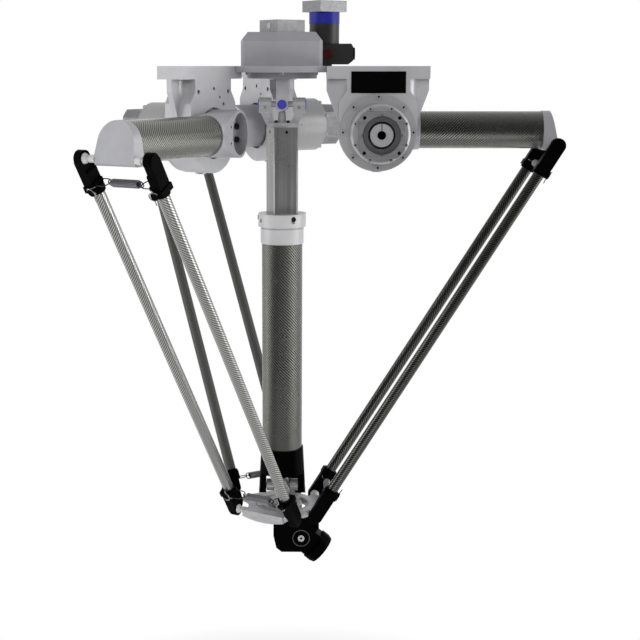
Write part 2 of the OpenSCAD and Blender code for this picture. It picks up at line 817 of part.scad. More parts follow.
// Yoke ears face Y and hang from a round disc
module upper_yoke() {
    color(cast) translate([0, 0, -cardan_drop]) difference() {
        union() {
            translate([0, 0, cardan_drop - yoke_disc_z - yoke_disc_t])
                cylinder(r = yoke_disc_r, h = yoke_disc_t);
            translate([0, 0, cardan_drop - yoke_disc_z - 1])
                cylinder(r = yoke_journal_r, h = yoke_disc_z + yoke_journal_h);
            for (s = [0, 1]) mirror([0, s, 0]) slab(ear_y, ear_y + ear_t) {
                circle(yoke_ear_w / 2);
                translate([-yoke_ear_w / 2, 0]) square([yoke_ear_w, cardan_drop - yoke_disc_z - 1]);
            }
        }
        y_rod(bush_r + pin_gap, -ear_y - ear_t - 1, ear_y + ear_t + 1);
    }
}

// A bush on each pin: two in the upper ears, two in the ears of the shaft yoke
module yoke_bushes() {
    color(blue) translate([0, 0, -cardan_drop]) {
        for (s = [0, 1]) mirror([0, s, 0]) difference() {
            y_rod(bush_r, ear_y, ear_y + ear_t + 1);
            y_rod(pin_r + pin_gap, ear_y - 1, ear_y + ear_t - 2);
        }
        for (s = [0, 1]) mirror([s, 0, 0]) difference() {
            x_rod(bush_r, side_ear_out - bush_len, side_ear_out + 1.5);
            x_rod(pin_r + pin_gap, side_ear_out - bush_len - 1, side_ear_out - 2);
        }
    }
}

// Cross with four pins
module cross(half, x_reach, y_reach) {
    translate([-half, -half, -half + 1]) cube([2 * half, 2 * half, 2 * half - 2]);
    x_rod(pin_r, -x_reach, x_reach);
    y_rod(pin_r, -y_reach, y_reach);
}

module upper_cross() {
    color(machined) translate([0, 0, -cardan_drop]) cross(cross_half, side_ear_out - 2.2,
        ear_y + ear_t - 2.2);
}

// Lower yoke of the upper cardan: two ears face X on arms that taper into the profile
module shaft_yoke() {
    base_z = cardan_drop - yoke_base;
    color(milled) translate([0, 0, -cardan_drop]) difference() {
        union() {
            for (s = [0, 1]) mirror([s, 0, 0]) {
                side_slab(side_ear_x, side_ear_out) {
                    circle(side_ear_half);
                    translate([-side_ear_half, side_arm_z]) square([2 * side_ear_half, -side_arm_z]);
                }
                slab(-side_ear_half, side_ear_half)
                    polygon([[side_arm_in, side_arm_z + 1], [side_arm_out, side_arm_z + 1],
                        [base_half, base_z], [base_half - 17, base_z]]);
            }
            translate([-base_half, -22, base_z]) cube([2 * base_half, 44, yoke_base_t]);
            translate([0, 0, base_z]) cylinder(r1 = 9, r2 = 7, h = 30);
        }
        x_rod(pin_r + pin_gap, -side_ear_out - 1, side_ear_out + 1);
        for (s = [0, 1]) mirror([s, 0, 0]) x_rod(bush_r + pin_gap, side_ear_out - bush_len - pin_gap,
            side_ear_out + 1);
        for (x = [-1, 1], y = [-1, 1]) translate([x * 12, y * 17, base_z - 1])
            cylinder(r = 2.4, h = yoke_base_t + 2);
    }
}

module profile_section(gap = 0) rounded_square(profile_w + 2 * gap, profile_corner + gap);

module sliding_profile() {
    color(machined) translate([0, 0, -profile_end]) difference() {
        rotate([0, 0, profile_turn]) linear_extrude(profile_end - yoke_base) difference() {
            profile_section();
            circle(17);
        }
        for (k = [0 : 3]) rotate([0, 0, profile_turn + 90 * k]) translate([0, 0, profile_end - yoke_base - 9])
            y_rod(3, -profile_w, -profile_w / 2 + 5);
    }
}

module shaft_collar() {
    color(white) difference() {
        union() {
            translate([0, 0, -tube_top]) cylinder(r = collar_ring_r, h = collar_ring_t);
            translate([0, 0, -tube_top - collar_gap]) cylinder(r = collar_skirt_r - 2, h = collar_gap + 1);
            translate([0, 0, -tube_top - collar_gap - collar_skirt])
                cylinder(r = collar_skirt_r, h = collar_skirt);
        }
        translate([0, 0, -tube_top - collar_skirt - collar_gap - 1])
            cylinder(r = shaft_tube_r + seat_gap, h = collar_skirt + 1);
        translate([0, 0, -tube_top - 10]) rotate([0, 0, profile_turn])
            linear_extrude(collar_ring_t + 11) profile_section(slide_gap);
        ring_z(collar_ring_r, 4, -62) translate([0, 0, -collar_top - collar_ring_t / 2]) x_rod(4.5, -5, 1);
    }
}

module shaft_tube() {
    color(carbon) translate([0, 0, -tube_end]) difference() {
        cylinder(r = shaft_tube_r, h = tube_end - tube_top - collar_gap - seat_gap);
        translate([0, 0, -1]) cylinder(r = shaft_tube_bore, h = tube_end);
    }
}

// Black fork at the lower end of the shaft, its ears face X
module lower_fork() {
    color(black) difference() {
        intersection() {
            translate([0, 0, fork_low]) cylinder(r1 = fork_foot_r, r2 = fork_sleeve_r,
                h = fork_top - fork_low);
            union() {
                translate([-fork_wide, -fork_wide, fork_web])
                    cube([2 * fork_wide, 2 * fork_wide, fork_top - fork_web]);
                side_slab(-fork_wide, fork_wide) translate([0, low_cardan]) {
                    circle(fork_ear_half);
                    translate([-fork_ear_half, 0]) square([2 * fork_ear_half, fork_web - low_cardan + 1]);
                }
            }
        }
        translate([0, 0, -tube_end]) cylinder(r = shaft_tube_r + seat_gap, h = fork_wide);
        translate([0, 0, fork_web + 14]) cylinder(r = shaft_tube_bore - 6, h = fork_wide);
        translate([0, 0, fork_web]) slab(-fork_wide, fork_wide) fork_window(fork_web - fork_low + 1);
        translate([0, 0, low_cardan]) x_rod(pin_r + pin_gap, -fork_wide, fork_wide);
    }
}

// Opening between the ears, rounded where they meet the web
module fork_window(h) {
    translate([-fork_ear_in, -h]) square([2 * fork_ear_in, h - fork_round]);
    translate([-fork_ear_in + fork_round, -h]) square([2 * (fork_ear_in - fork_round), h]);
    for (x = [-1, 1]) translate([x * (fork_ear_in - fork_round), -fork_round]) circle(fork_round);
}

module lower_cross() {
    color(machined) translate([0, 0, low_cardan]) {
        cross(cross_half, fork_ear_in + 9, yoke_ear_in + yoke_ear_t - 2);
        for (s = [0, 1]) mirror([s, 0, 0]) x_rod(cross_collar_r, cross_half + 5, fork_ear_in - 1);
    }
}

// Yoke on top of the wrist, its ears face Y and its neck turns in the platform
module wrist_yoke() {
    color(machined) difference() {
        union() {
            translate([0, 0, low_cardan]) for (s = [0, 1]) mirror([0, s, 0])
                slab(yoke_ear_in, yoke_ear_in + yoke_ear_t) {
                    circle(13);
                    translate([-13, plate_top + 4 - low_cardan]) square([26, low_cardan - plate_top - 4]);
                }
            translate([0, 0, plate_top + slide_gap]) cylinder(r = 30, h = 7);
            translate([0, 0, wrist_top]) cylinder(r = bearing_bore - run_gap, h = plate_top - wrist_top + 1);
        }
        translate([0, 0, low_cardan]) y_rod(pin_r + pin_gap, -60, 60);
    }
}

// ---- platform and wrist ----

module plate_outline() {
    circle(plate_r);
    for (n = [1 : 3]) at_arm(n) translate([platform_r - bar_w / 2, -bar_half]) square([bar_w, 2 * bar_half]);
}

// Shallow arc under each bar, seen from outside
module belly_outline() {
    intersection() {
        translate([-belly_half, -bar_belly]) square([2 * belly_half, bar_belly + 1]);
        translate([0, belly_r - bar_belly]) circle(belly_r, $fn = 360);
    }
}

// Plate with three bellied ball bars, a bearing seat and three long slots round it
module platform() {
    color(milled) translate([0, 0, plate_low]) difference() {
        union() {
            linear_extrude(platform_t) plate_outline();
            for (n = [1 : 3]) at_arm(n) {
                side_slab(platform_r - bar_w / 2 + 0.5, platform_r + bar_w / 2 - 0.5) belly_outline();
                translate([platform_r, 0, platform_z - plate_low])
                    y_rod(bar_boss_r, -bar_half + 1.5, bar_half - 1.5);
            }
        }
        translate([0, 0, -1]) cylinder(r = bearing_r, h = platform_t + 2);
        for (n = [1 : 3]) at_arm(n) arc_slot(80, platform_t + 2);
        translate([0, 0, platform_t - groove_t]) rotate_extrude() translate([slot_out + groove_t, 0])
            square([groove_t, 3]);
    }
}

// Ring segment of the given angle, centred on +X
module arc_slot(angle, h) {
    translate([0, 0, -1]) rotate([0, 0, -angle / 2]) rotate_extrude(angle = angle)
        translate([slot_in, 0]) square([slot_out - slot_in, h]);
}

module platform_bearing() {
    color(steel) translate([0, 0, plate_low + 1]) difference() {
        cylinder(r = bearing_r - seat_gap, h = platform_t - 2);
        translate([0, 0, -1]) cylinder(r = bearing_bore, h = platform_t + 2);
        translate([0, 0, platform_t - 4]) difference() {
            cylinder(r = 32, h = 5);
            translate([0, 0, -1]) cylinder(r = 28, h = 7);
        }
    }
}

// Wrist block with two cheeks that hold the tilting head
module wrist_housing() {
    color(black) difference() {
        union() {
            for (s = [0, 1]) mirror([0, s, 0]) slab(cheek_in, cheek_in + cheek_t) cheek_outline();
            slab(-cheek_in, cheek_in) difference() {
                cheek_outline();
                translate([tilt_offset, tilt_z]) {
                    circle(head_clear);
                    translate([-head_clear, -60]) square([100, 60]);
                    translate([0, -60]) square([100, 60 + head_clear]);
                }
            }
            for (s = [0, 1]) mirror([0, s, 0]) translate([tilt_offset, 0, tilt_z])
                y_rod(18, cheek_in + cheek_t - 1, cheek_in + cheek_t + 1.5);
        }
        translate([tilt_offset, 0, tilt_z]) y_rod(tilt_pin_r + run_gap, -50, 50);
    }
}

module cheek_outline() {
    polygon([[wrist_left, wrist_top], [wrist_right, wrist_top], [wrist_right, tilt_z + 21],
             [wrist_right - 9, tilt_z + 9], [wrist_right - 17, tilt_z - 14], [tilt_offset + 4, wrist_low],
             [wrist_left + 17, wrist_low], [wrist_left + 6, wrist_low + 9], [wrist_left, wrist_low + 35]]);
}

// Tilting head on its pin, the tool side turned away from straight down by head_tilt
module at_head() translate([tilt_offset, 0, tilt_z]) rotate([0, -head_tilt, 0]) children();

module tilt_head() {
    color(black) at_head() {
        slab(-head_half, head_half) {
            circle(head_r);
            translate([-head_r, -tool_in]) square([2 * head_r, tool_in]);
        }
        y_rod(tilt_pin_r, -cheek_in - cheek_t - 2.5, cheek_in + cheek_t + 2.5);
    }
}

// Thick tool flange, coned down to the standard face
module tool_flange() {
    color(black) at_head() translate([0, 0, -tool_in - tool_t]) difference() {
        union() {
            cylinder(r = tool_r, h = 1 + eps);
            translate([0, 0, 1]) cylinder(r1 = tool_r, r2 = tool_body_r, h = tool_edge - 1);
            translate([0, 0, tool_edge - eps]) cylinder(r = tool_body_r, h = tool_t - tool_edge + eps);
        }
        translate([0, 0, -1]) cylinder(r = tool_pilot_d / 2, h = tool_pilot_depth + 1);
        ring_z(tool_pcd / 2, 4, 45) translate([0, 0, -1]) cylinder(r = 2.5, h = 12);
    }
}

// ---- assembly ----

base_flange();
at_arm(1) bracket();  // bracket_1
at_arm(2) bracket();  // bracket_2
at_arm(3) bracket();  // bracket_3
at_arm(1) gearbox();  // gearbox_1
at_arm(2) gearbox();  // gearbox_2
at_arm(3) gearbox();  // gearbox_3
motor_adapters();
nameplate();
base_screws();
turn_housing();
angle_gear();
angle_gear_disc();
angle_gear_cap();
tilt_gearbox();
tilt_band();
at_arm(1) input_hub();  // input_hub_1
at_arm(2) input_hub();  // input_hub_2
at_arm(3) input_hub();  // input_hub_3
turn_hub();
tilt_hub();
at_arm(1) arm_hub();  // arm_hub_1
at_arm(2) arm_hub();  // arm_hub_2
at_arm(3) arm_hub();  // arm_hub_3
at_arm(1) arm_tube();  // arm_tube_1
at_arm(2) arm_tube();  // arm_tube_2
at_arm(3) arm_tube();  // arm_tube_3
at_arm(1) elbow_cap();  // elbow_cap_1
at_arm(2) elbow_cap();  // elbow_cap_2
at_arm(3) elbow_cap();  // elbow_cap_3
at_arm(1) elbow_balls();  // elbow_balls_1
at_arm(2) elbow_balls();  // elbow_balls_2
at_arm(3) elbow_balls();  // elbow_balls_3
at_arm(1) rods();  // rods_1
at_arm(2) rods();  // rods_2
at_arm(3) rods();  // rods_3
at_arm(1) sockets();  // sockets_1
at_arm(2) sockets();  // sockets_2
at_arm(3) sockets();  // sockets_3
at_arm(1) springs();  // springs_1
at_arm(2) springs();  // springs_2
at_arm(3) springs();  // springs_3
at_arm(1) platform_balls();  // platform_balls_1
at_arm(2) platform_balls();  // platform_balls_2
at_arm(3) platform_balls();  // platform_balls_3
upper_yoke();
upper_cross();
yoke_bushes();
shaft_yoke();
sliding_profile();
shaft_collar();
shaft_tube();
lower_fork();
lower_cross();
wrist_yoke();
platform();
platform_bearing();
wrist_housing();
tilt_head();
tool_flange();
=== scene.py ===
import math

import bmesh
import bpy
from mathutils import Euler, Matrix, Vector


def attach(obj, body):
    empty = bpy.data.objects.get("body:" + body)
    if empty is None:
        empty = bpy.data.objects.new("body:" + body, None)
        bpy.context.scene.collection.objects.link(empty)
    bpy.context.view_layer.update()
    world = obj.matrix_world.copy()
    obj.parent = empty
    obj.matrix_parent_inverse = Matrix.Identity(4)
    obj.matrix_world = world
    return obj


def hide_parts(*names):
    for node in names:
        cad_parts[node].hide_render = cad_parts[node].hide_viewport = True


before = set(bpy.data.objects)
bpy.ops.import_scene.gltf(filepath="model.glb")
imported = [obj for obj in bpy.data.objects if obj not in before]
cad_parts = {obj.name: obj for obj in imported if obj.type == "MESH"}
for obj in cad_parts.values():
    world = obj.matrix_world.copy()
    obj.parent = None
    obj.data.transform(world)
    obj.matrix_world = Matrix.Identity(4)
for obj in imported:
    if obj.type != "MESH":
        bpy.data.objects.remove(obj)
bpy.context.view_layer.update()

# ---------------------------------------------------------------- sizes, metres

ARMS = (1, 2, 3)
SHOULDER_R = 0.184
UPPER_ARM = 0.350
FOREARM = 0.886
ROD_HALF_PITCH = 0.0675
PLATFORM_R = 0.069
SHOULDER_Z = -0.124
ELBOW_Z = -0.151
LEAN = math.asin((SHOULDER_R + UPPER_ARM - PLATFORM_R) / FOREARM)
PLATFORM_Z = ELBOW_Z - FOREARM * math.cos(LEAN)
TILT_X = 0.040
TILT_Z = PLATFORM_Z - 0.063
ARM_TUBE_R = 0.0365
ROD_R = 0.011
SHAFT_R = 0.041
TOW = 0.0015


def turned(degrees, axis):
    """A turn about X, Y or Z."""
    return Matrix.Rotation(math.radians(degrees), 4, axis)


def moved(x, y, z):
    """A shift without a turn."""
    return Matrix.Translation((x, y, z))


def arm_turn(n):
    """The three drives stand evenly round the middle."""
    return turned(120 * (n - 1), "Z")


def shoulder_place(n):
    """Frame in the middle of shoulder n, X along the arm and Y along the gearbox axis."""
    return arm_turn(n) @ moved(SHOULDER_R, 0, SHOULDER_Z)


def forearm_place(n):
    """Frame between the elbow balls of arm n, the rods along -Z."""
    return arm_turn(n) @ moved(SHOULDER_R + UPPER_ARM, 0, ELBOW_Z) @ Matrix.Rotation(LEAN, 4, "Y")


# ---------------------------------------------------------------- node helpers

# numbers of the sockets of a mix node, whose names repeat
MIX_A, MIX_B = 2, 3
MIX_COLOUR_A, MIX_COLOUR_B, MIX_COLOUR_OUT = 6, 7, 2


def add_node(tree, kind, inputs):
    """A new node; each input, by name or number, takes a value or the output of another node."""
    node = tree.nodes.new(kind)
    for label, value in inputs.items():
        if isinstance(value, bpy.types.NodeSocket):
            tree.links.new(value, node.inputs[label])
        else:
            node.inputs[label].default_value = value
    return node


def math_node(tree, operation, *values):
    node = add_node(tree, "ShaderNodeMath", dict(enumerate(values)))
    node.operation = operation
    return node.outputs[0]


def noise_node(tree, vector, scale, detail, roughness=0.6):
    return add_node(tree, "ShaderNodeTexNoise", {
        "Vector": vector, "Scale": scale, "Detail": detail, "Roughness": roughness}).outputs["Fac"]


def spread_node(tree, value, low, high, to_low=0.0, to_high=1.0):
    """The value, led from the range low to high into another range and held at its ends."""
    return add_node(tree, "ShaderNodeMapRange", {
        "Value": value, "From Min": low, "From Max": high, "To Min": to_low, "To Max": to_high}).outputs[0]


# ---------------------------------------------------------------- shader node groups


def new_group(name, inputs, outputs):
    """An empty shader node group: a vector and named numbers come in, named numbers go out."""
    group = bpy.data.node_groups.new(name, "ShaderNodeTree")
    group.interface.new_socket("Vector", in_out="INPUT", socket_type="NodeSocketVector")
    for label in inputs:
        group.interface.new_socket(label, in_out="INPUT", socket_type="NodeSocketFloat")
    for label in outputs:
        group.interface.new_socket(label, in_out="OUTPUT", socket_type="NodeSocketFloat")
    return group, group.nodes.new("NodeGroupInput").outputs, group.nodes.new("NodeGroupOutput").inputs


def build_cast_grain():
    """Sand-cast skin: fine grain with larger, softer mottling."""
    group, given, out = new_group("cast grain", ["Grain"], ["Grain", "Mottle"])
    mottle = noise_node(group, given["Vector"], scale=14.0, detail=5.0)
    group.links.new(noise_node(group, given["Vector"], given["Grain"], detail=4.0), out["Grain"])
    group.links.new(spread_node(group, mottle, 0.3, 0.7), out["Mottle"])
    return group


def build_handling_marks():
    """Smudges and fine scratches left by handling, as masks."""
    group, given, out = new_group("handling marks", ["Size"], ["Smudge", "Scratch"])
    smudge = noise_node(group, given["Vector"], given["Size"], detail=6.0, roughness=0.65)
    stretch = add_node(group, "ShaderNodeMapping", {
        "Vector": given["Vector"], "Rotation": (0.5, 0.3, 0.7), "Scale": (30.0, 900.0, 900.0)})
    scratch = noise_node(group, stretch.outputs[0], scale=1.0, detail=2.0, roughness=0.5)
    group.links.new(spread_node(group, smudge, 0.42, 0.68), out["Smudge"])
    group.links.new(spread_node(group, scratch, 0.66, 0.74), out["Scratch"])
    return group


def build_turned_grain():
    """Lathe marks: rings round the Z axis of the given vector on faces, and round the wall."""
    group, given, out = new_group("turned grain", ["Pitch"], ["Height", "Streak"])
    x, y, z = add_node(group, "ShaderNodeSeparateXYZ", {0: given["Vector"]}).outputs
    square = math_node(group, "ADD", math_node(group, "MULTIPLY", x, x), math_node(group, "MULTIPLY", y, y))
    reach = math_node(group, "ADD", math_node(group, "SQRT", square), z)
    place = math_node(group, "DIVIDE", reach, given["Pitch"])
    rows = add_node(group, "ShaderNodeCombineXYZ", {0: place})
    coarse = add_node(group, "ShaderNodeCombineXYZ", {0: math_node(group, "MULTIPLY", place, 0.12)})
    group.links.new(noise_node(group, rows.outputs[0], scale=1.0, detail=2.0), out["Height"])
    group.links.new(noise_node(group, coarse.outputs[0], scale=1.0, detail=3.0), out["Streak"])
    return group


def build_drawn_grain():
    """Straight grain of extruded, milled or drawn metal, along the X axis of the given vector."""
    group, given, out = new_group("drawn grain", ["Fineness"], ["Height", "Streak"])
    stretch = add_node(group, "ShaderNodeMapping", {"Vector": given["Vector"], "Scale": (0.02, 1.0, 1.0)})
    group.links.new(noise_node(group, stretch.outputs[0], given["Fineness"], detail=3.0), out["Height"])
    group.links.new(noise_node(group, stretch.outputs[0], scale=160.0, detail=3.0), out["Streak"])
    return group


def build_twill_weave():
    """Two by two twill wrapped round the Z axis of the given vector."""
    group, given, out = new_group("twill weave", ["Tow", "Tows Round"], ["Warp", "Height", "Lay", "Rib"])
    x, y, z = add_node(group, "ShaderNodeSeparateXYZ", {0: given["Vector"]}).outputs
    angle = math_node(group, "ARCTAN2", y, x)
    turns = math_node(group, "ADD", math_node(group, "DIVIDE", angle, 2 * math.pi), 0.5)
    across = math_node(group, "MULTIPLY", turns, given["Tows Round"])
    along = math_node(group, "DIVIDE", z, given["Tow"])
    step = math_node(group, "ADD", math_node(group, "FLOOR", across), math_node(group, "FLOOR", along))
    # the twill repeats after four tows and floats over two of them
    warp = math_node(group, "LESS_THAN", math_node(group, "FLOORED_MODULO", step, 4.0), 1.5)
    # the floats line up in soft diagonal ribs, four tows apart
    lean = math_node(group, "MULTIPLY", math_node(group, "ADD", across, along), math.pi / 2)
    rib = math_node(group, "ADD", math_node(group, "MULTIPLY", math_node(group, "COSINE", lean), 0.5), 0.5)

    def crown(value):
        """Rounded back of a tow: one in its middle, nothing at its edges."""
        offset = math_node(group, "SUBTRACT", math_node(group, "FRACT", value), 0.5)
        square = math_node(group, "MULTIPLY", offset, offset)
        return math_node(group, "SUBTRACT", 1.0, math_node(group, "MULTIPLY", square, 4.0))

    crowns = add_node(group, "ShaderNodeMix", {"Factor": warp, MIX_A: crown(along), MIX_B: crown(across)})
    group.links.new(warp, out["Warp"])
    group.links.new(crowns.outputs[0], out["Height"])
    group.links.new(noise_node(group, given["Vector"], scale=60.0, detail=3.0), out["Lay"])
    group.links.new(rib, out["Rib"])
    return group


CAST_GRAIN = build_cast_grain()
HANDLING_MARKS = build_handling_marks()
TURNED_GRAIN = build_turned_grain()
DRAWN_GRAIN = build_drawn_grain()
TWILL_WEAVE = build_twill_weave()


# ---------------------------------------------------------------- finishes


def scaled(colour, factor, lift=0.0):
    """A lighter or darker colour, held below one."""
    return tuple(min(1.0, c * factor + lift) for c in colour)


class Finish:
    """A material under construction: its tree, its Principled shader and the piece's own coordinates."""

    def __init__(self, name, place=None, **shader):
        self.material = bpy.data.materials.new(name)
        self.material.use_nodes = True
        self.tree = self.material.node_tree
        self.shader = self.tree.nodes["Principled BSDF"]
        for label, value in shader.items():
            self.shader.inputs[label.replace("_", " ")].default_value = value
        self.vector = self.tree.nodes.new("ShaderNodeTexCoord").outputs["Object"]
        if place is not None:
            mapping = add_node(self.tree, "ShaderNodeMapping", {
                "Vector": self.vector, "Location": place.to_translation(), "Rotation": place.to_euler("XYZ")})
            mapping.vector_type = "TEXTURE"
            self.vector = mapping.outputs[0]

    def mirror_about_y(self, offset):
        """Folds the coordinates, so that the axes at Y = offset and Y = -offset become one."""
        x, y, z = add_node(self.tree, "ShaderNodeSeparateXYZ", {0: self.vector}).outputs
        side = math_node(self.tree, "SUBTRACT", math_node(self.tree, "ABSOLUTE", y), offset)
        self.vector = add_node(self.tree, "ShaderNodeCombineXYZ", {0: x, 1: side, 2: z}).outputs[0]

    def use(self, group, **values):
        node = self.tree.nodes.new("ShaderNodeGroup")
        node.node_tree = group
        self.tree.links.new(self.vector, node.inputs["Vector"])
        for label, value in values.items():
            node.inputs[label.replace("_", " ")].default_value = value
        return node.outputs

    def colours(self, value, low, high, low_at=0.0, high_at=1.0):
        ramp = add_node(self.tree, "ShaderNodeValToRGB", {0: value})
        for element, place, colour in zip(ramp.color_ramp.elements, (low_at, high_at), (low, high)):
            element.position = place
            element.color = (*colour, 1)
        return ramp.outputs[0]

    def blend(self, factor, a, b, amount=1.0):
        mix = self.tree.nodes.new("ShaderNodeMix")
        mix.data_type = "RGBA"
        self.tree.links.new(math_node(self.tree, "MULTIPLY", factor, amount), mix.inputs["Factor"])
        for number, value in ((MIX_COLOUR_A, a), (MIX_COLOUR_B, b)):
            if isinstance(value, tuple):
                mix.inputs[number].default_value = (*value, 1)
            else:
                self.tree.links.new(value, mix.inputs[number])
        return mix.outputs[MIX_COLOUR_OUT]

    def colour(self, socket):
        self.tree.links.new(socket, self.shader.inputs["Base Color"])

    def roughness(self, value, low, high):
        spread = spread_node(self.tree, value, 0.0, 1.0, low, high)
        self.tree.links.new(spread, self.shader.inputs["Roughness"])

    def wear(self, base, scratched, amount, size, roughness):
        """Colour with scratches in it, and smudges that change the roughness."""
        marks = self.use(HANDLING_MARKS, Size=size)
        self.colour(self.blend(marks["Scratch"], base, scratched, amount))
        self.roughness(marks["Smudge"], *roughness)

    def bump(self, height, strength, distance, **under):
        """Relief on the shader, over the Normal of another relief if one is given."""
        node = add_node(self.tree, "ShaderNodeBump", {
            "Height": height, "Strength": strength, "Distance": distance, **under})
        self.tree.links.new(node.outputs[0], self.shader.inputs["Normal"])
        return node.outputs[0]


def cast_finish(name, dark, light, roughness=(0.38, 0.52), grain=900.0, metallic=0.35):
    finish = Finish(name, Metallic=metallic)
    skin = finish.use(CAST_GRAIN, Grain=grain)
    base = finish.colours(skin["Mottle"], dark, light)
    finish.wear(base, scaled(light, 1.12), amount=0.35, size=11.0, roughness=roughness)
    finish.bump(skin["Grain"], strength=0.18, distance=0.0004)
    return finish.material


def turned_finish(name, dark, light, metallic, roughness=(0.28, 0.42), pitch=0.0005, place=None):
    finish = Finish(name, place, Metallic=metallic)
    rings = finish.use(TURNED_GRAIN, Pitch=pitch)
    base = finish.colours(rings["Streak"], dark, light, low_at=0.3, high_at=0.7)
    finish.wear(base, light, amount=0.4, size=15.0, roughness=roughness)
    finish.bump(rings["Height"], strength=0.12, distance=0.0003)
    return finish.material


def drawn_finish(name, dark, light, metallic, roughness=(0.35, 0.5), fineness=1600.0, place=None):
    finish = Finish(name, place, Metallic=metallic)
    grain = finish.use(DRAWN_GRAIN, Fineness=fineness)
    base = finish.colours(grain["Streak"], dark, light, low_at=0.3, high_at=0.7)
    finish.wear(base, light, amount=0.4, size=13.0, roughness=roughness)
    finish.bump(grain["Height"], strength=0.1, distance=0.0003)
    return finish.material


def moulded_finish(name, dark, light, roughness, grain=1500.0, coat=0.0, bump=0.04, shine=0.5):
    finish = Finish(name, Metallic=0.0, Coat_Weight=coat, Coat_Roughness=0.2, Specular_IOR_Level=shine)
    skin = finish.use(CAST_GRAIN, Grain=grain)
    base = finish.colours(skin["Mottle"], dark, light)
    finish.wear(base, scaled(light, 1.6, 0.002), amount=0.25, size=17.0, roughness=roughness)
    finish.bump(skin["Grain"], strength=bump, distance=0.0003)
    return finish.material


def anodised_finish(name, dark, light, roughness, shine):
    finish = Finish(name, Metallic=0.0, Specular_IOR_Level=shine)
    skin = finish.use(CAST_GRAIN, Grain=1600.0)
    base = finish.colours(skin["Mottle"], dark, light)
    finish.wear(base, scaled(light, 3.0, 0.002), amount=0.35, size=13.0, roughness=roughness)
    finish.bump(skin["Grain"], strength=0.08, distance=0.0003)
    return finish.material


def carbon_finish(name, radius, dark, light, ribbing, place=None, twin=0.0, roughness=(0.22, 0.32),
                  coat=0.15, metallic=0.9):
    """Twill under clear resin, wrapped round the place's axis, or round two axes twin either side of it."""
    finish = Finish(name, place, Metallic=metallic, Coat_Weight=coat, Coat_Roughness=0.15)
    if twin:
        finish.mirror_about_y(twin)
    # the pattern closes on itself only with a whole number of four tows round the tube
    tows_round = 4.0 * round(2 * math.pi * radius / TOW / 4)
    weave = finish.use(TWILL_WEAVE, Tow=TOW, Tows_Round=tows_round)
    # painted reflection: warp tows lighter and weft tows darker, standing in for the different shine of the fibres
    tows = finish.blend(weave["Warp"], dark, light)
    # painted highlight and shade: the colour runs from far darker to far lighter across each diagonal rib
    ribs = finish.blend(weave["Rib"], scaled(dark, 0.3), scaled(light, 1.4))
    finish.colour(finish.blend(weave["Lay"], ribs, tows, amount=0.2))
    finish.roughness(finish.use(HANDLING_MARKS, Size=10.0)["Smudge"], *roughness)
    crowns = finish.bump(weave["Height"], strength=0.15, distance=0.0002)
    finish.bump(weave["Rib"], strength=ribbing, distance=0.0005, Normal=crowns)
    return finish.material


cast_grey = cast_finish("cast_aluminium", (0.475, 0.475, 0.492), (0.545, 0.545, 0.562))
cast_housing = cast_finish("cast_housing", (0.300, 0.297, 0.315), (0.350, 0.347, 0.365),
                           roughness=(0.6, 0.75), metallic=0.12)
cast_hub = cast_finish("cast_aluminium_fine", (0.355, 0.355, 0.374), (0.415, 0.415, 0.434), grain=1300.0)

white_polymer = moulded_finish("white_polymer", (0.46, 0.46, 0.465), (0.54, 0.54, 0.545),
                               roughness=(0.3, 0.42), grain=1800.0, coat=0.1, bump=0.05)
ball_white = moulded_finish("ball_ceramic", (0.46, 0.46, 0.455), (0.62, 0.62, 0.61),
                            roughness=(0.18, 0.3), grain=1800.0, coat=0.3, bump=0.03)
black_plastic = moulded_finish("black_plastic", (0.0005, 0.0005, 0.0006), (0.0012, 0.0012, 0.0013),
                               roughness=(0.42, 0.58), grain=2200.0, bump=0.12, shine=0.02)
blue_polymer = moulded_finish("blue_polymer", (0.014, 0.018, 0.26), (0.022, 0.028, 0.34),
                              roughness=(0.35, 0.5), shine=0.25)
blue_bush = moulded_finish("blue_bush", (0.040, 0.045, 0.36), (0.065, 0.075, 0.45),
                           roughness=(0.35, 0.5), shine=0.3)
red_lacquer = moulded_finish("red_lacquer", (0.045, 0.002, 0.002), (0.075, 0.004, 0.004),
                             roughness=(0.25, 0.4), coat=0.1)
# black of the nameplate and plugs, also used as painted shade in the shaft bores
black_plate_and_shade = moulded_finish("nameplate_and_shade_black", (0.0008, 0.0008, 0.0009), (0.0016, 0.0016, 0.0017),
                             roughness=(0.45, 0.55), bump=0.02, shine=0.05)
# dark grey standing in for the shade in the deep shaft recesses of the drives (painted shade)
recess_shade_grey = moulded_finish("recess_shade_grey", (0.055, 0.055, 0.056), (0.085, 0.085, 0.086),
                             roughness=(0.5, 0.65), grain=2000.0, bump=0.08, shine=0.3)
# black standing in for the shade in grooves and on the floors of recesses (painted shade)
recess_shade_black = moulded_finish("recess_shade_black", (0.012, 0.012, 0.012), (0.022, 0.022, 0.022),
                              roughness=(0.5, 0.65), grain=2000.0, bump=0.05, shine=0.1)
# mid grey standing in for the highlight on the rounded edge of a recess (painted highlight)
edge_highlight_grey = moulded_finish("edge_highlight_grey", (0.035, 0.035, 0.037), (0.075, 0.075, 0.078),
                           roughness=(0.3, 0.45), grain=2000.0, bump=0.05)

black_anodised = anodised_finish("black_anodised", (0.0004, 0.0004, 0.0005), (0.0010, 0.0010, 0.0011),
                                 roughness=(0.36, 0.52), shine=0.015)
dark_anodised = anodised_finish("dark_anodised", (0.022, 0.021, 0.021), (0.032, 0.031, 0.031),
                                roughness=(0.4, 0.55), shine=0.35)
black_screw = anodised_finish("black_screw", (0.004, 0.004, 0.0045), (0.010, 0.010, 0.011),
                              roughness=(0.25, 0.4), shine=0.3)

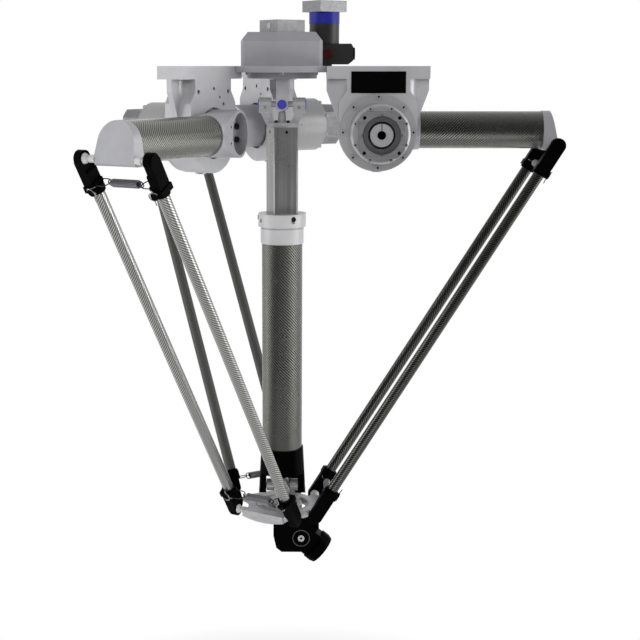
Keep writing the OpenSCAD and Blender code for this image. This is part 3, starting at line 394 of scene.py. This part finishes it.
spring_steel = turned_finish("spring_steel", (0.17, 0.17, 0.185), (0.26, 0.26, 0.28),
                             metallic=0.8, roughness=(0.3, 0.4))
hook_steel = turned_finish("hook_steel", (0.035, 0.035, 0.038), (0.075, 0.075, 0.08),
                           metallic=0.8, roughness=(0.3, 0.4))
bail_wire = turned_finish("bail_wire", (0.26, 0.26, 0.27), (0.40, 0.40, 0.41),
                          metallic=0.9, roughness=(0.25, 0.35))
screw_steel = turned_finish("screw_steel", (0.36, 0.36, 0.365), (0.46, 0.46, 0.465),
                            metallic=0.35, roughness=(0.3, 0.42))
shaft_steel = turned_finish("turned_steel", (0.34, 0.34, 0.345), (0.44, 0.44, 0.445),
                            metallic=0.4, pitch=0.0006)

milled_plate = drawn_finish("milled_aluminium", (0.21, 0.21, 0.22), (0.29, 0.29, 0.30), metallic=0.45)
milled_light = drawn_finish("milled_aluminium_light", (0.38, 0.38, 0.39), (0.48, 0.48, 0.49), metallic=0.3)
profile_steel = drawn_finish("drawn_profile", (0.22, 0.22, 0.22), (0.34, 0.34, 0.34),
                             metallic=0.65, roughness=(0.26, 0.38), fineness=1500.0, place=turned(90, "Y"))

shaft_carbon = carbon_finish("carbon_shaft", SHAFT_R, (0.014, 0.015, 0.012), (0.160, 0.161, 0.146), ribbing=1.0)

# ---------------------------------------------------------------- finishes onto the CAD nodes


def dress(node, material):
    """Gives a CAD node one material in place of its own."""
    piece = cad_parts[node]
    piece.data.materials.clear()
    piece.data.materials.append(material)


for node, material in (
    ("base_flange", cast_housing), ("bracket_1", cast_grey), ("bracket_2", cast_grey), ("bracket_3", cast_grey),
    ("turn_housing", cast_housing), ("upper_yoke", cast_grey),
    ("nameplate", black_plate_and_shade), ("motor_adapters", milled_plate), ("base_screws", screw_steel),
    ("angle_gear", dark_anodised), ("angle_gear_disc", red_lacquer), ("angle_gear_cap", black_plastic),
    ("tilt_gearbox", dark_anodised), ("tilt_band", blue_polymer), ("turn_hub", shaft_steel), ("tilt_hub", shaft_steel),
    ("upper_cross", shaft_steel), ("yoke_bushes", blue_bush), ("shaft_yoke", milled_light),
    ("sliding_profile", profile_steel), ("shaft_collar", white_polymer), ("shaft_tube", shaft_carbon),
    ("lower_fork", black_anodised), ("lower_cross", shaft_steel), ("wrist_yoke", shaft_steel),
    ("platform", milled_light), ("platform_bearing", shaft_steel), ("wrist_housing", black_anodised),
    ("tilt_head", black_anodised), ("tool_flange", black_anodised),
):
    dress(node, material)

# the three pairs of rods are one carbon in lit and shaded copies: the third pair is lightened as painted reflection,
# the first pair keeps dark tones as painted shade, and the second pair is an even dark grey and made matt
ROD_LIT_AND_SHADED_LOOKS = {
    1: dict(dark=(0.025, 0.025, 0.022), light=(0.105, 0.105, 0.098), ribbing=0.15),
    2: dict(dark=(0.060, 0.060, 0.057), light=(0.082, 0.082, 0.078), ribbing=0.05,
            roughness=(0.5, 0.65), coat=0.0, metallic=0.1),
    3: dict(dark=(0.27, 0.27, 0.26), light=(0.40, 0.40, 0.388), ribbing=0.02),
}

for n in ARMS:
    drive_axis = shoulder_place(n) @ turned(90, "X")
    tube_axis = shoulder_place(n) @ turned(90, "Y")
    dress(f"gearbox_{n}", turned_finish(f"turned_gearbox_{n}", (0.36, 0.36, 0.365), (0.43, 0.43, 0.435),
                                        metallic=0.3, roughness=(0.34, 0.48), pitch=0.0006, place=drive_axis))
    dress(f"input_hub_{n}", turned_finish(f"turned_hub_{n}", (0.34, 0.34, 0.345), (0.44, 0.44, 0.445),
                                          metallic=0.35, pitch=0.0004, place=drive_axis))
    dress(f"arm_hub_{n}", cast_hub)
    dress(f"elbow_cap_{n}", cast_hub)
    dress(f"elbow_balls_{n}", ball_white)
    dress(f"platform_balls_{n}", ball_white)
    dress(f"arm_tube_{n}", carbon_finish(f"carbon_arm_{n}", ARM_TUBE_R, (0.022, 0.023, 0.019), (0.225, 0.226, 0.206),
                                         ribbing=0.45, place=tube_axis))
    dress(f"rods_{n}", carbon_finish(f"carbon_rods_{n}", ROD_R, place=forearm_place(n), twin=ROD_HALF_PITCH,
                                     **ROD_LIT_AND_SHADED_LOOKS[n]))
    dress(f"sockets_{n}", black_plastic)


# ---------------------------------------------------------------- mesh helpers


def new_piece(name, bm, material, body):
    """A finished piece: a mesh at the origin, dressed and riding on its body."""
    mesh = bpy.data.meshes.new(name)
    bm.to_mesh(mesh)
    bm.free()
    mesh.materials.append(material)
    piece = bpy.data.objects.new(name, mesh)
    bpy.context.scene.collection.objects.link(piece)
    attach(piece, body)
    return piece


def face_out(bm):
    bmesh.ops.recalc_face_normals(bm, faces=bm.faces)


def add_mesh(bm, mesh, place):
    """Adds a mesh to bm at the given place."""
    before = len(bm.verts)
    bm.from_mesh(mesh)
    bm.verts.ensure_lookup_table()
    for vert in bm.verts[before:]:
        vert.co = place @ vert.co


def join_rings(bm, low, high, smooth=False):
    """Faces between two rings of points, or between a ring and the single point of a centre."""
    for k in range(max(len(low), len(high))):
        corners = (low[k % len(low)], low[(k + 1) % len(low)], high[(k + 1) % len(high)], high[k % len(high)])
        face = bm.faces.new(list(dict.fromkeys(corners)))
        face.smooth = smooth


def wire(bm, points, radius):
    """A round wire swept along points, with closed ends."""
    sides = 8
    last = len(points) - 1
    tangents = [(points[min(i + 1, last)] - points[max(i - 1, 0)]).normalized() for i in range(last + 1)]
    normal = tangents[0].orthogonal().normalized()
    rings = []
    for point, tangent in zip(points, tangents):
        normal = (normal - tangent * normal.dot(tangent)).normalized()
        side = tangent.cross(normal)
        rings.append([bm.verts.new(point + radius * (normal * math.cos(2 * math.pi * k / sides)
                                                     + side * math.sin(2 * math.pi * k / sides)))
                      for k in range(sides)])
    for low, high in zip(rings, rings[1:]):
        join_rings(bm, low, high, smooth=True)
    bm.faces.new(list(reversed(rings[0])))
    bm.faces.new(rings[-1])


def lathe(bm, place, outline, steps, closed):
    """Spins (radius, height) points round Z of the place; a closed outline ends where it starts."""
    rings = [[bm.verts.new(place @ Vector((radius * math.cos(2 * math.pi * k / steps),
                                           radius * math.sin(2 * math.pi * k / steps), height)))
              for k in range(steps if radius else 1)]
             for radius, height in outline]
    for low, high in zip(rings, rings[1:] + rings[:1] if closed else rings[1:]):
        join_rings(bm, low, high)


def flat_ring(bm, place, inner, outer, height):
    """A washer lying on the place."""
    lathe(bm, place, [(inner, 0), (outer, 0), (outer, height), (inner, height)], steps=48, closed=True)


def disc(bm, place, radius, height):
    """A round plate lying on the place."""
    lathe(bm, place, [(0, 0), (radius, 0), (radius, height), (0, height)], steps=40, closed=False)


def cap_head(bm, place, radius, height):
    """Head of a socket cap screw, seated at the place and facing +Z, with a hexagon recess."""
    steps = 24
    edge = radius * 0.12
    hexagon = radius * 0.48
    recess_floor = height * 0.45

    def ring(reach, height, six=False):
        verts = []
        for k in range(steps):
            a = 2 * math.pi * k / steps
            r = reach / math.cos((a % (math.pi / 3)) - math.pi / 6) if six else reach
            verts.append(bm.verts.new(place @ Vector((r * math.cos(a), r * math.sin(a), height))))
        return verts

    rings = [ring(radius, 0), ring(radius, height - edge), ring(radius - edge, height),
             ring(hexagon, height, True), ring(hexagon, recess_floor, True)]
    for low, high in zip(rings, rings[1:]):
        join_rings(bm, low, high)
    bm.faces.new(rings[-1])
    bm.faces.new(list(reversed(rings[0])))


def set_pieces(name, body, slot, material, shape, places, **sizes):
    """One piece with the same shape at each place."""
    bm = bmesh.new()
    for place in places:
        shape(bm, place, **sizes)
    face_out(bm)
    piece = new_piece(name, bm, material, body)


# ---------------------------------------------------------------- Geometry Nodes that repeat a shape


def geometry_tree(name, inputs):
    """An empty geometry tree, what its inputs give, and the keys by which a modifier sets them."""
    tree = bpy.data.node_groups.new(name, "GeometryNodeTree")
    keys = {label: tree.interface.new_socket(label, in_out="INPUT", socket_type=f"NodeSocket{kind}").identifier
            for label, kind in inputs.items()}
    tree.interface.new_socket("Geometry", in_out="OUTPUT", socket_type="NodeSocketGeometry")
    return tree, tree.nodes.new("NodeGroupInput").outputs, keys


def end_tree(tree, shape, material):
    """Makes the copies real, gives them the material and leads them out of the tree."""
    realize = add_node(tree, "GeometryNodeRealizeInstances", {0: shape})
    paint = add_node(tree, "GeometryNodeSetMaterial", {"Geometry": realize.outputs[0], "Material": material})
    add_node(tree, "NodeGroupOutput", {"Geometry": paint.outputs[0]})


def grow(name, built, values):
    """Runs a built tree on an empty mesh and returns the result as a plain mesh."""
    tree, keys = built
    holder = bpy.data.objects.new(name, bpy.data.meshes.new(name))
    bpy.context.scene.collection.objects.link(holder)
    modifier = holder.modifiers.new("grow", "NODES")
    modifier.node_group = tree
    for label, value in values.items():
        modifier[keys[label]] = value
    bpy.context.view_layer.update()
    evaluated = holder.evaluated_get(bpy.context.evaluated_depsgraph_get())
    mesh = bpy.data.meshes.new_from_object(evaluated)
    mesh.name = name
    holder.modifiers.remove(modifier)
    bpy.data.objects.remove(holder)
    return mesh


def build_coil():
    """A wound coil along Z, from the origin up."""
    tree, given, keys = geometry_tree("wound coil", {
        "Turns": "Float", "Coil Radius": "Float", "Wire Radius": "Float", "Length": "Float", "Material": "Material"})
    spiral = add_node(tree, "GeometryNodeCurveSpiral", {
        "Resolution": 26, "Rotations": given["Turns"], "Start Radius": given["Coil Radius"],
        "End Radius": given["Coil Radius"], "Height": given["Length"]})
    section = add_node(tree, "GeometryNodeCurvePrimitiveCircle", {"Resolution": 8, "Radius": given["Wire Radius"]})
    sweep = add_node(tree, "GeometryNodeCurveToMesh", {
        "Curve": spiral.outputs[0], "Profile Curve": section.outputs[0], "Fill Caps": True})
    smooth = add_node(tree, "GeometryNodeSetShadeSmooth", {"Geometry": sweep.outputs[0]})
    end_tree(tree, smooth.outputs[0], given["Material"])
    return tree, keys


def build_screw_ring():
    """Cap screws with a recess, evenly spaced on a circle round Z, heads towards +Z."""
    tree, given, keys = geometry_tree("screw ring", {
        "Count": "Int", "Circle Radius": "Float", "Start Angle": "Float", "Head Radius": "Float",
        "Head Height": "Float", "Material": "Material"})
    head = add_node(tree, "GeometryNodeMeshCylinder", {
        "Vertices": 20, "Radius": given["Head Radius"], "Depth": given["Head Height"]})
    hexagon = math_node(tree, "MULTIPLY", given["Head Radius"], 0.52)
    recess = add_node(tree, "GeometryNodeMeshCylinder", {
        "Vertices": 6, "Radius": hexagon, "Depth": given["Head Height"]})
    lift = add_node(tree, "ShaderNodeCombineXYZ", {2: math_node(tree, "MULTIPLY", given["Head Height"], 0.5)})
    raised = add_node(tree, "GeometryNodeTransform", {0: recess.outputs[0], "Translation": lift.outputs[0]})
    cut = add_node(tree, "GeometryNodeMeshBoolean", {"Mesh 1": head.outputs[0], "Mesh 2": raised.outputs[0]})
    cut.operation = "DIFFERENCE"
    seated = add_node(tree, "GeometryNodeTransform", {0: cut.outputs[0], "Translation": lift.outputs[0]})
    circle = add_node(tree, "GeometryNodeCurvePrimitiveCircle", {
        "Resolution": given["Count"], "Radius": given["Circle Radius"]})
    ring = add_node(tree, "GeometryNodeInstanceOnPoints", {
        "Points": circle.outputs[0], "Instance": seated.outputs[0]})
    spin = add_node(tree, "ShaderNodeCombineXYZ", {2: given["Start Angle"]})
    spun = add_node(tree, "GeometryNodeTransform", {0: ring.outputs[0], "Rotation": spin.outputs[0]})
    end_tree(tree, spun.outputs[0], given["Material"])
    return tree, keys


# ---------------------------------------------------------------- springs, hooks and wire bails of the forearms

# the springs hang between the two sockets of an end; the bails go through the lugs of the sockets
SPRING_DROP = 0.048
COIL_LENGTH = 0.054
WIRE_RADIUS = 0.0010
HOOK_R = 0.0063
HOOK_Y = 0.0298
HOOK_ARC = (-106, 212, 22)
BAIL_HALF = 0.0105
BAIL_BOW = 0.0230
BAIL_ROOT = 0.0025
BAIL_LEG_STEPS = 4
TAIL_RADIUS = 0.0011
TAIL_FRONT = 0.0176
TAIL_BULGE = 0.0030
TAIL_ARC = (150, -225, 12)
TAIL_ROOT = (0.0125, -0.0112, -SPRING_DROP - 0.0005)
TAIL_SLACK = Vector((0.0012, 0, 0))
TAIL_END = Vector((0.0006, 0, -0.0085))
BOSS_DROP = 0.058
BOSS_SHIFT = 0.002
BOSS_LOOP = 0.0090

COIL_MESH = grow("coil", build_coil(), {
    "Turns": 27.0, "Coil Radius": 0.0063, "Wire Radius": WIRE_RADIUS, "Length": COIL_LENGTH, "Material": spring_steel})


def end_places(n):
    """Frames at the ball line of both ends of forearm n, Z pointing from the rods to the balls."""
    top = forearm_place(n)
    low = top @ moved(0, 0, -FOREARM) @ Matrix.Scale(-1, 4, (0, 0, 1))
    return top, low


def arc(start, sweep, steps):
    """Angles along an arc, given in degrees and returned in radians."""
    return [math.radians(start + sweep * k / steps) for k in range(steps + 1)]


def by_rod(side, x, y, z):
    """A point by the rod on one side, y counted outward from the middle of the rod."""
    return Vector((x, side * (ROD_HALF_PITCH + y), z))


def hook_points(side):
    """Hook of a spring: the last turn stands up and goes round the bow of the bail."""
    return [Vector((0, side * (HOOK_Y + HOOK_R * math.cos(a)), HOOK_R * math.sin(a))) for a in arc(*HOOK_ARC)]


def bail_points(side):
    """Bail of one socket: in through the lug, round the bow and out again."""
    leg = [(BAIL_BOW - BAIL_ROOT) * k / BAIL_LEG_STEPS for k in range(BAIL_LEG_STEPS + 1)]
    points = [by_rod(side, -BAIL_HALF, -BAIL_ROOT - reach, -SPRING_DROP) for reach in leg]
    points += [by_rod(side, -BAIL_HALF * math.cos(a), -BAIL_BOW - BAIL_HALF * math.sin(a), -SPRING_DROP)
               for a in arc(0, 180, 16)[1:-1]]
    return points + [by_rod(side, BAIL_HALF, -BAIL_BOW + reach, -SPRING_DROP) for reach in leg]


def tail_points(side):
    """Tail of the bail: along the front of the collar, over the boss, with the end left standing out."""
    angles = arc(*TAIL_ARC)
    loop = [by_rod(side, TAIL_FRONT + TAIL_BULGE * math.sin(math.pi * k / (len(angles) - 1)),
                   -BOSS_SHIFT - BOSS_LOOP * math.cos(a), -BOSS_DROP + BOSS_LOOP * math.sin(a))
            for k, a in enumerate(angles)]
    root = by_rod(side, *TAIL_ROOT)
    end = loop[-1] + TAIL_END
    return [root, root.lerp(loop[0], 0.5) + TAIL_SLACK, *loop, loop[-1].lerp(end, 0.5), end]


for n in ARMS:
    bm = bmesh.new()
    for place in end_places(n):
        add_mesh(bm, COIL_MESH, place @ moved(0, 0, -SPRING_DROP) @ turned(90, "X") @ moved(0, 0, -COIL_LENGTH / 2))
    face_out(bm)
    springs = new_piece(f"coil_springs_{n}", bm, spring_steel, f"forearm_{n}")
    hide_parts(f"springs_{n}")

    bows = bmesh.new()
    tails = bmesh.new()
    for place in end_places(n):
        spring_place = place @ moved(0, 0, -SPRING_DROP)
        for side in (-1, 1):
            wire(bows, [spring_place @ point for point in hook_points(side)], WIRE_RADIUS)
            wire(bows, [place @ point for point in bail_points(side)], WIRE_RADIUS)
            wire(tails, [place @ point for point in tail_points(side)], TAIL_RADIUS)
    for name, part, material in (("spring_hooks", bows, hook_steel), ("wire_tails", tails, bail_wire)):
        face_out(part)
        new_piece(f"{name}_{n}", part, material, f"forearm_{n}")

# ---------------------------------------------------------------- screws, plugs, washers, and rings and recess floors of painted shade and painted highlight

FACE_PLUS_Y = turned(-90, "X")
FACE_MINUS_Y = turned(90, "X")
BOTH_WAYS = ((1, FACE_PLUS_Y), (-1, FACE_MINUS_Y))
SCREWS_ROUND = 8

# faces of the drives, from the shoulder along the gearbox axis
HUB_SCREW_SEAT = -0.0098
BRACKET_FACE = -0.0455
GEARBOX_FLANGE = -0.1101
GEARBOX_END = -0.1858
INPUT_FACE = -0.206
RECESS_FLOOR_FACE = -0.2149
# x and z of each hole from the shoulder, and its radius
BRACKET_HOLES = ((0.049, -0.047, 0.0042), (-0.002, -0.0415, 0.0034), (-0.051, -0.047, 0.0042),
                 (-0.021, -0.0575, 0.0026), (-0.034, -0.0705, 0.0034))
PLUG_GAP = 0.0002
# the middle column, from the frame's origin
BASE_SCREW_FACE = -0.0141
BASE_SCREW_CIRCLE = 0.092
EAR_FACE = 0.0114
EAR_SCREW_Z = -0.0803
YOKE_BASE_Z = -0.1100
COLLAR_FACE = 0.0478
COLLAR_SCREW_Z = -0.2985
COLLAR_FIRST = -61
PROFILE_FACE = 0.0252
PROFILE_PLUG_Z = -0.128
PROFILE_TURN = 21
ADAPTER_PLUG = (0.032, 0.0030, 0.0765)
ADAPTER_TURN = 214
GROOVE_Z = PLATFORM_Z + 0.0031
# faces of the wrist, from its middle plane
CHEEK_FACE = 0.0315
PIVOT_FACE = 0.0325
# thickness of the dark discs of painted shade on the floors of the hexagon recesses
RECESS_SHADE_T = 0.0003

HUB_SCREWS = grow("screw_ring", build_screw_ring(), {
    "Count": SCREWS_ROUND, "Circle Radius": 0.0315, "Start Angle": math.radians(22.5), "Head Radius": 0.0056,
    "Head Height": 0.0046, "Material": black_screw})


def on_drive(n, y):
    """A place on the axis of drive n that faces away from the arm."""
    return shoulder_place(n) @ moved(0, y, 0) @ FACE_MINUS_Y


def drive_screws(circle, first, y):
    """Places of the screws round the axis of each gearbox, facing away from the arm."""
    return [shoulder_place(n) @ turned(first + 45 * k, "Y") @ moved(circle, y, 0) @ FACE_MINUS_Y
            for n in ARMS for k in range(SCREWS_ROUND)]


def wrist_sides(reach):
    """Places on the tilt axis, facing outward on both sides of the wrist."""
    return [moved(TILT_X, 0, TILT_Z) @ turn @ moved(0, 0, reach) for _, turn in BOTH_WAYS]


for n in ARMS:
    bm = bmesh.new()
    add_mesh(bm, HUB_SCREWS, shoulder_place(n) @ FACE_PLUS_Y @ moved(0, 0, HUB_SCREW_SEAT))
    hub_screws = new_piece(f"hub_screws_{n}", bm, black_screw, f"arm_{n}")

    bm = bmesh.new()
    for x, z, radius in BRACKET_HOLES:
        cap_head(bm, arm_turn(n) @ moved(SHOULDER_R + x, BRACKET_FACE, z) @ FACE_PLUS_Y, radius - PLUG_GAP, 0.003)
    bracket_plugs = new_piece(f"bracket_plugs_{n}", bm, black_plate_and_shade, "base")

    # painted shade: a black disc in each shaft bore, where the deep bore lies in shade
    set_pieces(f"shaft_bore_shade_{n}", f"input_{n}", "black_metal", black_plate_and_shade, disc,
               [on_drive(n, INPUT_FACE)], radius=0.0078, height=0.002)

# painted shade: dark grey rings on the floors of the shaft recesses, where the deep recess lies in shade
set_pieces("shaft_recess_shade", "base", "black", recess_shade_grey, flat_ring,
           [on_drive(n, RECESS_FLOOR_FACE) for n in ARMS], inner=0.0256, outer=0.0346, height=0.0012)
# painted shade: a black ring in the groove of the platform
set_pieces("platform_groove_shade", "platform", "black", recess_shade_black, flat_ring,
           [moved(0, 0, GROOVE_Z)], inner=0.0543, outer=0.0553, height=0.0008)
# painted highlight: thin grey rings on the black cheeks, where the rounded edges of the pivot recesses catch the light
set_pieces("cheek_highlight_rings", "lower_shaft", "black_metal", edge_highlight_grey, flat_ring,
           wrist_sides(CHEEK_FACE), inner=0.0168, outer=0.0180, height=0.0004)
set_pieces("pivot_washers", "tool_head", "steel", bail_wire, flat_ring,
           wrist_sides(PIVOT_FACE), inner=0.0026, outer=0.0069, height=0.0008)
# painted shade: dark discs on the floors of the screw recesses
set_pieces("pivot_recess_shade", "tool_head", "black_metal", recess_shade_black, disc,
           wrist_sides(PIVOT_FACE), radius=0.0026, height=RECESS_SHADE_T)
set_pieces("flange_screw_recess_shade", "base", "black_metal", recess_shade_black, disc,
           drive_screws(0.0670, 0.0, GEARBOX_FLANGE), radius=0.0021, height=RECESS_SHADE_T)
set_pieces("end_screw_recess_shade", "base", "black_metal", recess_shade_black, disc,
           drive_screws(0.0503, 22.5, GEARBOX_END), radius=0.0018, height=RECESS_SHADE_T)
set_pieces("base_screw_recess_shade", "base", "black_metal", recess_shade_black, disc,
           [turned(45 * k, "Z") @ moved(BASE_SCREW_CIRCLE, 0, BASE_SCREW_FACE) @ turned(180, "X")
            for k in range(SCREWS_ROUND)], radius=0.0021, height=RECESS_SHADE_T)
set_pieces("collar_screws", "lower_shaft", "black_metal", black_screw, cap_head,
           [turned(COLLAR_FIRST + 120 * k, "Z") @ moved(COLLAR_FACE, 0, COLLAR_SCREW_Z) @ turned(90, "Y")
            for k in range(3)], radius=0.0050, height=0.0014)
set_pieces("profile_head_screws", "upper_shaft", "black_metal", black_screw, cap_head,
           [moved(x, y, YOKE_BASE_Z) for x in (-0.012, 0.012) for y in (-0.017, 0.017)], radius=0.0036, height=0.0034)
set_pieces("profile_plugs", "upper_shaft", "black_metal", black_plate_and_shade, disc,
           [turned(PROFILE_TURN + 90 * k, "Z") @ moved(0, -PROFILE_FACE, PROFILE_PLUG_Z) @ FACE_MINUS_Y
            for k in range(4)],
           radius=0.0029, height=0.0006)
set_pieces("adapter_plug", "base", "steel", milled_light, disc,
           [turned(ADAPTER_TURN, "Z") @ moved(*ADAPTER_PLUG) @ turned(90, "Y")], radius=0.0058, height=0.0010)
set_pieces("ear_screws", "upper_shaft", "black_metal", black_screw, cap_head,
           [moved(x, side * EAR_FACE, EAR_SCREW_Z) @ turn for x in (-0.0335, 0.0335) for side, turn in BOTH_WAYS],
           radius=0.0028, height=0.0016)

# ---------------------------------------------------------------- camera

# focal length and centre of the view, in the same unit as its width
VIEW_WIDTH = 640.0
VIEW_FOCUS = 1284.5
VIEW_CENTRE = (282.18, 319.84)
SENSOR_WIDTH = 36.0
CAMERA_PITCH = math.radians(11.19)
CAMERA_YAW = math.radians(0.70)
CAMERA_DISTANCE = 2.577
CAMERA_HEIGHT = 0.0005

camera_data = bpy.data.cameras.new("camera")
camera = bpy.data.objects.new("camera", camera_data)
bpy.context.scene.collection.objects.link(camera)
camera_data.sensor_width = SENSOR_WIDTH
camera_data.lens = VIEW_FOCUS * SENSOR_WIDTH / VIEW_WIDTH
camera_data.shift_x = (VIEW_WIDTH / 2 - VIEW_CENTRE[0]) / VIEW_WIDTH
camera_data.shift_y = (VIEW_CENTRE[1] - VIEW_WIDTH / 2) / VIEW_WIDTH
camera_data.clip_end = 60.0
camera.location = Matrix.Rotation(CAMERA_YAW, 3, "Z") @ Vector((0, -CAMERA_DISTANCE, CAMERA_HEIGHT))
camera.rotation_euler = Euler((math.radians(90) - CAMERA_PITCH, 0, CAMERA_YAW), "XYZ")
bpy.context.scene.camera = camera

# ---------------------------------------------------------------- lamps


def area_lamp(name, place, aim, size, power):
    data = bpy.data.lights.new(name, "AREA")
    data.shape = "RECTANGLE"
    data.size, data.size_y = size
    data.energy = power
    lamp = bpy.data.objects.new(name, data)
    bpy.context.scene.collection.objects.link(lamp)
    lamp.location = place
    lamp.rotation_euler = (Vector(place) - Vector(aim)).to_track_quat("Z", "Y").to_euler()
    return lamp


ROBOT_MIDDLE = (0, 0, -0.35)
area_lamp("lamp_left", (-2.8, -0.35, -0.15), aim=ROBOT_MIDDLE, size=(1.7, 2.7), power=30)
area_lamp("lamp_right", (2.8, -0.35, -0.15), aim=ROBOT_MIDDLE, size=(1.7, 2.7), power=48)
lamp_front = area_lamp("lamp_front", (-0.5, -3.2, 0.9), aim=(0, 0, -0.3), size=(2.4, 1.4), power=48)
lamp_front.visible_glossy = False
area_lamp("lamp_low", (-0.1, -1.6, -1.5), aim=ROBOT_MIDDLE, size=(2.0, 1.0), power=10)

# ---------------------------------------------------------------- room and floor

DIM = 0.06
FLOOR_Z = -1.60
FLOOR_HALF = 14


def end_shader(tree, factor, near, far, output):
    """Mixes two shaders into the output; a factor of one gives the far one alone."""
    mix = add_node(tree, "ShaderNodeMixShader", {0: factor, 1: near.outputs[0], 2: far.outputs[0]})
    tree.links.new(mix.outputs[0], tree.nodes[output].inputs["Surface"])


def ray_masks(tree):
    """Masks of the camera's rays, and of all rays that show a picture: the camera's, mirrored and passing ones."""
    rays = tree.nodes.new("ShaderNodeLightPath").outputs
    mirrored = math_node(tree, "MAXIMUM", rays["Is Glossy Ray"], rays["Is Transmission Ray"])
    return rays["Is Camera Ray"], math_node(tree, "MAXIMUM", mirrored, rays["Is Camera Ray"])


world = bpy.data.worlds.new("studio")
bpy.context.scene.world = world
world.use_nodes = True
tree = world.node_tree
background = tree.nodes["Background"]
background.inputs["Color"].default_value = (0.93, 0.94, 0.96, 1)
background.inputs["Strength"].default_value = 0.36
view = tree.nodes.new("ShaderNodeTexCoord").outputs["Generated"]
_, y, z = add_node(tree, "ShaderNodeSeparateXYZ", {0: view}).outputs
# the backdrop wraps round from behind and the sides; the room in front of it and above it is dim
wrap = spread_node(tree, y, -0.85, 0.7, DIM, 1.0)
ceiling = spread_node(tree, z, 0.15, 0.85, 1.0, 0.8)
by_camera, in_view = ray_masks(tree)
shown = math_node(tree, "MAXIMUM", math_node(tree, "MULTIPLY", wrap, ceiling), by_camera)
backdrop = add_node(tree, "ShaderNodeBackground", {"Color": (1, 1, 1, 1), "Strength": shown})
end_shader(tree, in_view, background, backdrop, "World Output")

corners = [(x * FLOOR_HALF, y * FLOOR_HALF, FLOOR_Z) for x, y in ((-1, -1), (1, -1), (1, 1), (-1, 1))]
floor_mesh = bpy.data.meshes.new("floor")
floor_mesh.from_pydata(corners, [], [(0, 1, 2, 3)])
floor = bpy.data.objects.new("floor", floor_mesh)
bpy.context.scene.collection.objects.link(floor)
floor_material = bpy.data.materials.new("floor_paint")
floor_material.use_nodes = True
tree = floor_material.node_tree
paint = tree.nodes["Principled BSDF"]
paint.inputs["Base Color"].default_value = (0.86, 0.86, 0.86, 1)
paint.inputs["Roughness"].default_value = 0.9
paint.inputs["Specular IOR Level"].default_value = 0.1
place = tree.nodes.new("ShaderNodeTexCoord").outputs["Object"]
flat = add_node(tree, "ShaderNodeMapping", {"Vector": place, "Scale": (1, 1, 0)})
distance = add_node(tree, "ShaderNodeVectorMath", {0: flat.outputs[0]})
distance.operation = "LENGTH"
far = spread_node(tree, distance.outputs["Value"], 0.45, 0.93)
# in a mirror the floor in front of the robot is as dim as the room there
_, y, _ = add_node(tree, "ShaderNodeSeparateXYZ", {0: place}).outputs
dimming = spread_node(tree, y, -3.0, 0.5, DIM, 1.0)
by_camera, in_view = ray_masks(tree)
glow = add_node(tree, "ShaderNodeEmission", {"Strength": math_node(tree, "MAXIMUM", dimming, by_camera)})
end_shader(tree, math_node(tree, "MULTIPLY", far, in_view), paint, glow, "Material Output")
floor_mesh.materials.append(floor_material)

bpy.context.scene.view_settings.view_transform = "Standard"
